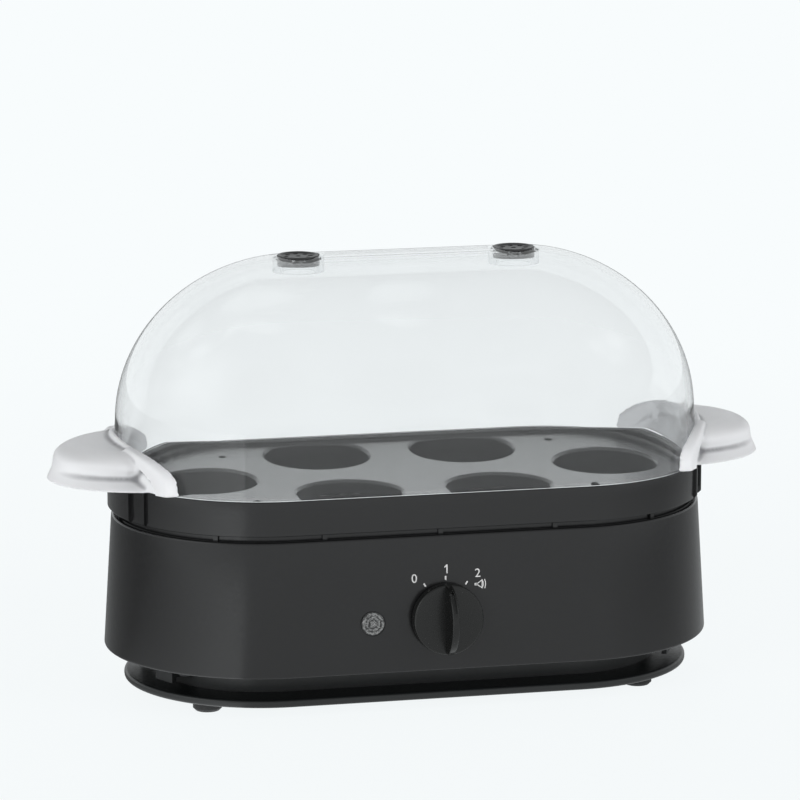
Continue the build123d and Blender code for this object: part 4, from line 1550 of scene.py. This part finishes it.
@dataclass
class Handles:
    """Frosted side handles: a half-oval visor that flows into a saddle round the lid's end."""

    lid: Lid
    inset: float = 0.0120
    reach_past: float = 0.0017
    sides: int = 112
    length: float = 0.0340
    half_width: float = 0.0286
    height: float = 0.0122
    bead_height: float = 0.0052
    tip_round: float = 0.0100
    side_round: float = 0.0062
    waist_height: float = 0.0038
    waist_shares: Sequence[float] = (0.0, 0.15, 0.35, 0.55, 0.75, 0.9, 1.0)
    bead_steps: int = 8
    pinch: float = 0.0058
    tip_pinch: float = 0.0016
    bulge: float = 0.0028
    tip_bulge: float = 0.0006
    wall: float = 0.0026
    roof: float = 0.0028
    saddle_curve: Sequence[Point] = (
        (0.0, 0.0156, 0.0120),
        (0.0240, 0.0126, 0.0040),
        (0.0328, 0.0092, 0.0040),
        (0.0368, 0.0044, 0.0030),
    )
    saddle_thickness: float = 0.0016
    roll_thickness: float = 0.0034
    roll_width: float = 0.0034
    roll_end: float = 0.0036
    roll_gate: float = 0.0170
    gap: float = 0.00015
    voxel: float = 0.0005
    melt: int = 12
    melt_share: float = 0.5
    # Spread and depths of the mask for the painted crease shade.
    crease_shade_rounds: int = 24
    crease_shade_reach: Flat = (0.00006, 0.00030)
    sound_volume: Flat = (0.000003, 0.000012)
    tries: int = 6

    def rim(self) -> float:
        """Level of the tray's rim, on which the lid stands."""
        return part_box("egg_tray")[1].z

    def centre_x(self) -> float:
        """Middle of the visor's oval on the right-hand side."""
        return self.lid.plan.half_length + self.lid.arch_radius + self.reach_past - self.inset

    def rings(self) -> list[Point]:
        """Height, length and half width of the visor's outline, from its foot to its top.

        Returns:
            One row for each ring.
        """
        levels = []
        for share in self.waist_shares:
            fall = share * share * (3 - 2 * share)
            sizes = (self.length - self.tip_pinch * share, self.half_width - self.pinch * fall)
            levels.append((self.waist_height * share, *sizes))
        low = self.height - self.bead_height
        length = self.length - self.tip_pinch - self.tip_bulge
        width = self.half_width - self.pinch + self.bulge
        for index in range(self.bead_steps + 1):
            turn = math.pi / 2 * index / self.bead_steps
            fall = 1 - math.cos(turn)
            rise = low + self.bead_height * math.sin(turn)
            levels.append((rise, length - self.tip_round * fall, width - self.side_round * fall))
        return levels

    def stack(self, name: str, levels: Sequence[Point], base: float) -> Piece:
        """Pile ovals of changing size into one form.

        Args:
            name: Object name.
            levels: Height, length and half width of each oval.
            base: Level of the first one.

        Returns:
            The form.
        """
        centre = Vector((self.centre_x(), self.lid.plan.centre_y, base))
        deselect_all()
        bpy.ops.mesh.primitive_circle_add(vertices=self.sides, radius=1.0, fill_type="NGON", location=centre)
        piece = bpy.context.object
        piece.name = name
        piece.scale = (levels[0][1], levels[0][2], 1.0)
        settle(piece)
        edit(piece, whole=True)
        for (low, a0, b0), (high, a1, b1) in zip(levels, levels[1:]):
            extrude((0, 0, high - low))
            bpy.ops.transform.resize(value=(a1 / a0, b1 / b0, 1), center_override=tuple(centre))
        tidy_mesh(piece)
        return piece

    def saddle_block(self, name: str, end: float = 0.0, top: float = 0.0) -> Piece:
        """Block with the saddle's outline as seen from the end.

        Args:
            name: Object name.
            end: How far its ends stand in from the saddle's own.
            top: How far its upper edge stands under the saddle's own.

        Returns:
            The block.
        """
        middle, base = self.lid.plan.centre_y, self.rim() + self.gap
        start = self.lid.plan.half_length
        half = self.saddle_curve[-1][0]
        rising = [((half - end) / half * y, z - top, turn) for y, z, turn in self.saddle_curve]
        rising.append((half - end, -top, 0.0))
        outline = [(-y, z, turn) for y, z, turn in rising[:0:-1]] + rising
        places = [Vector((start, middle + y, base + z)) for y, z, _ in outline]
        piece = chain(name, places, [(r, 6) for _, _, r in outline], closed=True, filled=True)
        return raise_face(piece, Vector((2 * self.lid.arch_radius, 0, 0)))

    def roll(self) -> Piece:
        """Thicker band along the saddle's upper edge that carries the visor's bead on.

        Returns:
            The band.
        """
        roll = combine(self.saddle_block("roll"), self.lid.solid("skin", self.roll_thickness), Cut.INTERSECT)
        combine(roll, self.saddle_block("under_roll", self.roll_end, self.roll_width), Cut.DIFFERENCE)
        place = (self.centre_x(), self.lid.plan.centre_y, self.rim())
        gate = block(place, (4 * self.length, 2 * self.roll_gate, 4 * self.length))
        return combine(roll, gate, Cut.DIFFERENCE)

    def visor(self) -> Piece:
        """Visor with its hollow underside.

        Returns:
            The visor.
        """
        levels = self.rings()
        piece = self.stack("visor", levels, self.rim() + self.gap)
        inner = []
        for height, length, width in levels:
            if height < self.height - self.roof:
                inner.append((height, length - self.wall, width - self.wall))
        inner.append((self.height - self.roof, inner[-1][1] - self.wall / 2, inner[-1][2] - self.wall / 2))
        inner[0] = (-self.roof, inner[0][1], inner[0][2])
        hollow = self.stack("hollow", inner, self.rim() - self.roof)
        combine(piece, self.roll(), Cut.UNION)
        return combine(piece, hollow, Cut.DIFFERENCE)

    def right(self) -> Piece:
        """The right-hand handle with soft moulded transitions.

        Returns:
            The handle.
        """
        saddle = combine(self.saddle_block("saddle"), self.lid.solid("skin", self.saddle_thickness), Cut.INTERSECT)
        piece = combine(self.visor(), saddle, Cut.UNION)
        combine(piece, self.lid.solid("skin", self.gap), Cut.DIFFERENCE)
        piece.name = "lid_handle_right_moulding"
        apply_modifier(piece, "REMESH", mode="VOXEL", voxel_size=self.voxel, adaptivity=0.0)
        apply_modifier(piece, "SMOOTH", factor=self.melt_share, iterations=self.melt)
        tidy_mesh(piece)
        activate(piece)
        bpy.ops.object.shade_smooth()
        return piece

    def build(self) -> None:
        """Make and dress both handles, again from the start if a cut has left a block standing."""
        for _ in range(self.tries):
            right = self.right()
            size = volume(right)
            LOG.info("handle of %.2f cubic centimetres", size / CUBIC_CM)
            if self.sound_volume[0] < size < self.sound_volume[1]:
                break
            LOG.warning("a cut failed in the handle: it is made again")
            bpy.data.objects.remove(right, do_unlink=True)
        else:
            raise RuntimeError("the handle could not be cut")
        left = twin(right, "lid_handle_left_moulding")
        for piece in (right, left):
            # Mask for the painted shade in the creases of both handles.
            map_crease_shade(piece, self.crease_shade_rounds, self.crease_shade_reach)
        install(right, Body.LID, Finish.HANDLE, "lid_handle_right")
        install(left, Body.LID, Finish.HANDLE, "lid_handle_left")


@dataclass
class Panel:
    """Knob, dial print and pilot lamp on the sloping front."""

    knob_gap: float = 0.0005
    disc: float = 0.0040
    knob_radius: float = 0.0118
    knob_chamfer: float = 0.0009
    knob_steps: int = 96
    knob_crease: float = 34.0
    lens_steps: int = 72
    lens_crease: float = 25.0
    fin_height: float = 0.0102
    fin_root: float = 0.0016
    fin_ridge: float = 0.0012
    fin_round: float = 0.0006
    fin_inset: float = 0.0003
    groove_width: float = 0.0008
    groove_length: float = 0.0062
    groove_depth: float = 0.0004
    groove_over: float = 0.003
    groove_start: float = 0.32
    groove_sides: int = 96
    fin_sides: int = 160
    fin_crease: float = 40.0
    skirt_wall: float = 0.0012
    skirt_round: float = 0.0003
    stem_radius: float = 0.0042
    stem_length: float = 0.0072
    bore_radius: float = 0.00205
    bore_depth: float = 0.0060
    lens_x: float = -0.0248
    lens_y: float = -0.0006
    lens_radius: float = 0.00385
    lens_proud: float = 0.0009
    lens_sunk: float = 0.0004
    lens_rings: int = 5
    lens_pitch: float = 6.5
    lens_fall: float = 0.00002
    lens_groove: float = 0.00024
    lens_edge: float = 0.0001
    lens_round: float = 0.00035
    stem_lens: float = 0.0030
    stem_lens_length: float = 0.0050
    ink: float = 0.00005
    tick_angle: float = 32.0
    tick_radius: float = 0.0127
    tick_length: float = 0.0013
    tick_width: float = 0.0005
    number_height: float = 0.0041
    one_place: Flat = (0.0005, 0.0163)
    one_line: float = 0.00042
    one_share: float = 0.36
    sign_place: Flat = (0.0098, 0.0107)
    sign_line: float = 0.00028
    sign_spread: float = 0.42
    horn: Sequence[Flat] = ((0.0, 0.0004), (0.0010, 0.0004), (0.0027, 0.0016))
    waves: Sequence[float] = (0.0028, 0.0036)
    wave_steps: int = 10
    numbers: Sequence[tuple[str, float, float]] = (
        ("0", -0.0106, 0.0135),
        ("2", 0.0109, 0.0143),
    )

    def knob(self) -> Piece:
        """Round knob with a grip fin across its whole face.

        Returns:
            The knob.
        """
        top = self.knob_gap + self.disc
        corners = [
            Corner(0.0, top),
            Corner(self.knob_radius, top, self.knob_chamfer, 5),
            Corner(self.knob_radius, self.knob_gap, self.skirt_round, 2),
            Corner(self.knob_radius - self.skirt_wall, self.knob_gap),
            Corner(self.knob_radius - self.skirt_wall, top - self.skirt_wall),
            Corner(self.stem_radius, top - self.skirt_wall),
            Corner(self.stem_radius, -self.stem_length),
            Corner(self.bore_radius, -self.stem_length),
            Corner(self.bore_radius, -self.stem_length + self.bore_depth),
            Corner(0.0, -self.stem_length + self.bore_depth),
        ]
        piece = turned("rotary_knob", corners, self.knob_steps)
        combine(piece, self.fin(top), Cut.UNION)
        combine(piece, self.groove(top), Cut.DIFFERENCE)
        return smooth(place_by(piece, panel_place()), self.knob_crease)

    def arc(self, top: float) -> Flat:
        """Find the arc of the fin's ridge.

        Args:
            top: Level of the knob's face.

        Returns:
            The arc's radius and the level of its centre.
        """
        half_chord = self.knob_radius - self.fin_inset
        radius = (half_chord**2 + self.fin_height**2) / (2 * self.fin_height)
        return radius, top + self.fin_height - radius

    def fin(self, top: float) -> Piece:
        """Arched fin that narrows towards its ridge.

        Args:
            top: Level of the knob's face.

        Returns:
            The fin.
        """
        radius, centre = self.arc(top)
        piece = wheel(radius, 2 * self.fin_root, centre, self.fin_sides)
        piece.name = "fin"
        edit(piece, whole=True)
        low = top - self.knob_chamfer
        bpy.ops.mesh.bisect(plane_co=(0, 0, low), plane_no=(0, 0, 1), clear_inner=True, use_fill=True)
        for side in (-1, 1):
            narrow = self.fin_root - self.fin_ridge
            pick(piece, lambda p: side * p.x > 0 and p.z > low + NEAR)
            bpy.ops.transform.translate(value=(-side * narrow, 0, 0))
        bpy.ops.mesh.select_mode(type="EDGE")
        bpy.ops.mesh.select_all(action="DESELECT")
        mesh = bmesh.from_edit_mesh(piece.data)
        for edge in mesh.edges:
            here, there = edge.verts[0].co, edge.verts[1].co
            rising = min(here.z, there.z) > low - NEAR and max(here.z, there.z) > low + NEAR
            if rising and here.x * there.x > 0 and len(edge.link_faces) == 2:
                edge.select_set(edge.calc_face_angle() > math.radians(self.fin_crease))
        bmesh.update_edit_mesh(piece.data)
        bpy.ops.mesh.bevel(offset=self.fin_round, segments=4, affect="EDGES")
        tidy_mesh(piece)
        return piece

    def groove(self, top: float) -> Piece:
        """Cutter for the pointer's groove near the fin's upper end.

        Args:
            top: Level of the knob's face.

        Returns:
            The cutter.
        """
        radius, centre = self.arc(top)
        ring = wheel(radius + self.groove_over, self.groove_width, centre, self.groove_sides)
        core = wheel(radius - self.groove_depth, 2 * self.groove_width, centre, self.groove_sides)
        combine(ring, core, Cut.DIFFERENCE)
        start = self.knob_radius * self.groove_start
        place = (0, start + self.groove_length / 2, top + self.fin_height / 2)
        gate = block(place, (4 * self.groove_width, self.groove_length, 2 * self.fin_height))
        return combine(ring, gate, Cut.INTERSECT)

    def lens(self) -> Piece:
        """Pilot lamp's lens with ring steps on its face.

        Returns:
            The lens.
        """
        front = self.lens_proud
        corners = [Corner(0.0, front)]
        for index in range(1, self.lens_rings + 1):
            reach = index * self.lens_radius / self.lens_pitch
            level = front - self.lens_fall * index
            corners += [Corner(reach, level), Corner(reach + self.lens_groove / 2, front - self.lens_groove)]
            corners += [Corner(reach + self.lens_groove, level)]
        corners += [
            Corner(self.lens_radius, front - self.lens_edge, self.lens_round, 4),
            Corner(self.lens_radius, -self.lens_sunk),
            Corner(self.stem_lens, -self.lens_sunk),
            Corner(self.stem_lens, -self.stem_lens_length),
            Corner(0.0, -self.stem_lens_length),
        ]
        piece = turned("pilot_lamp_lens", corners, self.lens_steps)
        return smooth(place_by(piece, panel_place(self.lens_x, self.lens_y)), self.lens_crease)

    def ink_run(self) -> Vector:
        """How the print rises from the panel."""
        return Vector((0.0, 0.0, self.ink))

    def tick(self, angle: float) -> Piece:
        """One stroke of the dial.

        Args:
            angle: Its place clockwise from the top, in degrees.

        Returns:
            The stroke, in the panel's own coordinates.
        """
        deselect_all()
        bpy.ops.mesh.primitive_plane_add(size=1.0, location=(0, self.tick_radius + self.tick_length / 2, 0))
        piece = bpy.context.object
        piece.scale = (self.tick_width, self.tick_length, 1.0)
        settle(piece)
        raise_face(piece, self.ink_run())
        return place_by(piece, Matrix.Rotation(-math.radians(angle), 4, "Z"))

    def number(self, text: str, x: float, y: float) -> Piece:
        """One number of the dial.

        Args:
            text: The number.
            x: Its middle, right of the knob's axis.
            y: Its middle, above the knob's axis.

        Returns:
            The number, in the panel's own coordinates.
        """
        deselect_all()
        bpy.ops.object.text_add(location=(x, y, self.ink / 2))
        piece = bpy.context.object
        piece.data.body = text
        piece.data.size = self.number_height
        piece.data.align_x = "CENTER"
        piece.data.align_y = "CENTER"
        piece.data.extrude = self.ink / 2
        bpy.ops.object.convert(target="MESH")
        settle(piece)
        tidy_mesh(piece)
        return piece

    def one(self) -> Piece:
        """The number one, drawn as a stroke with a flag.

        Returns:
            The number.
        """
        x, y = self.one_place
        half, line = self.number_height * self.one_share, self.one_line / 2
        outline = [(-line, -half), (line, -half), (line, half), (-line, half), (-4 * line, half - 3 * line)]
        outline += [(-4 * line, half - 5.5 * line), (-line, half - 3 * line)]
        places = [Vector((x + a, y + b, 0)) for a, b in outline]
        return raise_face(chain("one", places, [(0, 1)] * len(places), closed=True, filled=True), self.ink_run())

    def sound_sign(self) -> list[Piece]:
        """Outlined sign of a sounder with two waves, beside the last number.

        Returns:
            The sign.
        """
        x, y = self.sign_place
        half = [Vector((x + a, y + b, 0)) for a, b in self.horn]
        places = half + [Vector((x + a, y - b, 0)) for a, b in self.horn[::-1]]
        horn = chain("horn", places, [(0, 1)] * len(places), closed=True, filled=True)
        edit(horn, whole=True)
        bpy.ops.mesh.inset(thickness=self.sign_line)
        bpy.ops.mesh.delete(type="FACE")
        bpy.ops.object.mode_set(mode="OBJECT")
        raise_face(horn, self.ink_run())
        waves = []
        for reach in self.waves:
            start = [Vector((x + r, y, 0)) for r in (reach, reach + self.sign_line)]
            wave = chain("wave", start, [(0, 1)] * 2, closed=False)
            turn = Matrix.Rotation(-self.sign_spread, 4, "Z")
            place_by(wave, Matrix.Translation((x, y, 0)) @ turn @ Matrix.Translation((-x, -y, 0)))
            edit(wave, whole=True)
            bpy.ops.mesh.spin(steps=self.wave_steps, angle=-2 * self.sign_spread, center=(x, y, 0), axis=(0, 0, 1))
            bpy.ops.object.mode_set(mode="OBJECT")
            waves.append(raise_face(wave, self.ink_run()))
        return [horn] + waves

    def print(self) -> Piece:
        """White print of the dial: strokes, numbers and the sounder's sign.

        Returns:
            The print.
        """
        pieces = [self.tick(angle) for angle in (-self.tick_angle, 0.0, self.tick_angle)]
        pieces += [self.number(*entry) for entry in self.numbers] + [self.one()] + self.sound_sign()
        deselect_all()
        for piece in pieces:
            piece.select_set(True)
        bpy.context.view_layer.objects.active = pieces[0]
        bpy.ops.object.join()
        pieces[0].name = "dial_print"
        return place_by(pieces[0], panel_place())

    def build(self) -> None:
        """Make and dress the panel's pieces."""
        install(self.knob(), Body.KNOB, Finish.KNOB, "control_knob")
        install(self.lens(), Body.HOUSING, Finish.LENS, "indicator_lens")
        install(self.print(), Body.HOUSING, Finish.PRINT)


# Studio


@dataclass(frozen=True)
class SoftBox:
    """Panel of light that only gloss reflects: direction in degrees, half sizes and blur as sines."""

    azimuth: float
    elevation: float
    half_width: float
    half_height: float
    strength: float
    blur: float = 0.08


@dataclass
class Studio:
    """Camera, lamps, floor and background."""

    camera_place: Point = (-0.3729, -1.5646, 0.4217)
    camera_aim: Point = (0.22535, 0.95406, -0.19749)
    focal_length: float = 219.7
    sensor: float = 36.0
    shift_x: float = -1.3 / 800
    view_reach: float = 50.0
    sky: Flat = (0.03, 0.95)
    zenith: float = 0.45
    ambient_low: float = 0.62
    ambient_high: float = 0.2
    boxes: Sequence[SoftBox] = (
        SoftBox(-70.0, 26.0, 0.36, 0.28, 1.7, 0.22),
        SoftBox(55.0, 35.0, 0.2, 0.16, 1.2, 0.14),
    )
    floor_size: float = 14.0
    lamp_aim: Point = (0.0, 0.0, 0.07)
    lamps: Sequence[tuple[str, Point, tuple[float, float], float]] = (
        ("soft_box_left", (-1.5, -1.3, 0.62), (1.2, 0.9), 24.0),
        ("soft_box_right", (1.5, -1.3, 0.62), (1.0, 0.9), 21.0),
        ("soft_box_back", (0.1, 1.7, 0.7), (1.6, 0.8), 12.0),
    )

    def camera(self) -> None:
        """Camera at the photograph's viewing angle."""
        data = bpy.data.cameras.new("camera")
        data.lens = self.focal_length
        data.sensor_width = self.sensor
        data.shift_x = self.shift_x
        data.clip_end = self.view_reach
        camera = bpy.data.objects.new("camera", data)
        bpy.context.scene.collection.objects.link(camera)
        camera.location = self.camera_place
        camera.rotation_euler = Vector(self.camera_aim).to_track_quat("-Z", "Y").to_euler()
        bpy.context.scene.camera = camera

    def world(self) -> None:
        """Pale surroundings, brightest near the horizon and plain white where they are seen directly."""
        world = bpy.data.worlds.new("studio_air")
        bpy.context.scene.world = world
        world.use_nodes = True
        sheet = Sheet("studio_air", world)
        place = sheet.add("ShaderNodeTexCoord").outputs["Generated"]
        height = sheet.add("ShaderNodeSeparateXYZ", {0: place}).outputs["Z"]
        seen = sheet.ramp(height, *self.sky, low=1.0, high=self.zenith)
        for box in self.boxes:
            seen = self.soft_box(sheet, place, box, seen)
        light = sheet.ramp(height, *self.sky, low=self.ambient_low, high=self.ambient_high)
        mirror, plain, fill = (
            sheet.add("ShaderNodeBackground", {"Color": (*colour, 1.0), "Strength": strength}).outputs[0]
            for colour, strength in ((WHITE, seen), (WHITE, 1.0), ((1.0, 1.0, 1.0), light))
        )
        path = sheet.add("ShaderNodeLightPath").outputs
        glossy = sheet.mix(path["Is Glossy Ray"], fill, mirror)
        direct = sheet.calc("MAXIMUM", path["Is Camera Ray"], path["Is Transmission Ray"])
        sheet.add("ShaderNodeOutputWorld", {"Surface": sheet.mix(direct, glossy, plain)})

    def soft_box(self, sheet: Sheet, place: Socket, box: SoftBox, under: Socket) -> Socket:
        """Lay one soft-edged panel over the surroundings that gloss reflects.

        Args:
            sheet: The world's nodes.
            place: Direction of the ray.
            box: The panel.
            under: Strength without it.

        Returns:
            Strength with it.
        """
        turn = math.radians(box.azimuth)
        rise = math.radians(box.elevation)
        out = Vector((math.sin(turn) * math.cos(rise), -math.cos(turn) * math.cos(rise), math.sin(rise)))
        across = Vector((math.cos(turn), math.sin(turn), 0.0))
        up = across.cross(out) * -1.0
        shares = []
        for axis, half in ((across, box.half_width), (up, box.half_height)):
            size = sheet.calc("ABSOLUTE", sheet.measure("DOT_PRODUCT", place, axis))
            shares.append(sheet.ramp(size, half - box.blur, half + box.blur, 1.0, 0.0, soft=True))
        ahead = sheet.calc("GREATER_THAN", sheet.measure("DOT_PRODUCT", place, out), 0.0)
        share = sheet.calc("MULTIPLY", sheet.calc("MULTIPLY", *shares), ahead)
        return sheet.ramp(share, low=under, high=box.strength)

    def lamp(self, name: str, place: Point, size: Flat, power: float) -> None:
        """Soft box that faces the object.

        Args:
            name: Object name.
            place: Its place.
            size: Its width and height.
            power: Its power in watts.
        """
        data = bpy.data.lights.new(name, "AREA")
        data.shape = "RECTANGLE"
        data.size, data.size_y = size
        data.energy = power
        lamp = bpy.data.objects.new(name, data)
        lamp.visible_glossy = False
        lamp.visible_transmission = False
        bpy.context.scene.collection.objects.link(lamp)
        lamp.location = place
        lamp.rotation_euler = (Vector(self.lamp_aim) - Vector(place)).to_track_quat("-Z", "Y").to_euler()

    def floor(self) -> None:
        """Wide pale floor at the feet."""
        deselect_all()
        bpy.ops.mesh.primitive_plane_add(size=self.floor_size, location=(0, 0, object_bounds()[0][2]))
        plane = bpy.context.object
        plane.name = "floor"
        plane.data.materials.append(FloorFinish().build())
        plane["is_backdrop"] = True

    def build(self) -> None:
        """Set the studio up."""
        self.camera()
        self.world()
        self.floor()
        for lamp in self.lamps:
            self.lamp(*lamp)
        bpy.context.scene.view_settings.view_transform = "Standard"


def dress_frame() -> None:
    """Give every CAD node the finish of its material slot."""
    finishes = {finish.slot: finish for finish in Finish if finish not in (Finish.PRINT, Finish.DARKENED)}
    for part in frame["record"]["subparts"]:
        Paint.dress(frame["nodes"][part["node"]], finishes[part["material_slot"]])
    # The body's screws get the near-black steel.
    Paint.dress(frame["nodes"]["body_screws"], Finish.DARKENED)


def main() -> None:
    """Dress the frame, build the sub-assemblies and set up the studio."""
    logging.basicConfig(level=logging.INFO, format="%(name)s %(message)s")
    dress_frame()
    plan = plan_of("lid_dome")
    Housing(plan).build()
    Tray(plan).build()
    lid = Lid(plan)
    lid.build()
    Vents().build()
    Handles(lid).build()
    Panel().build()
    Studio().build()


if __name__ == "__main__":
    main()
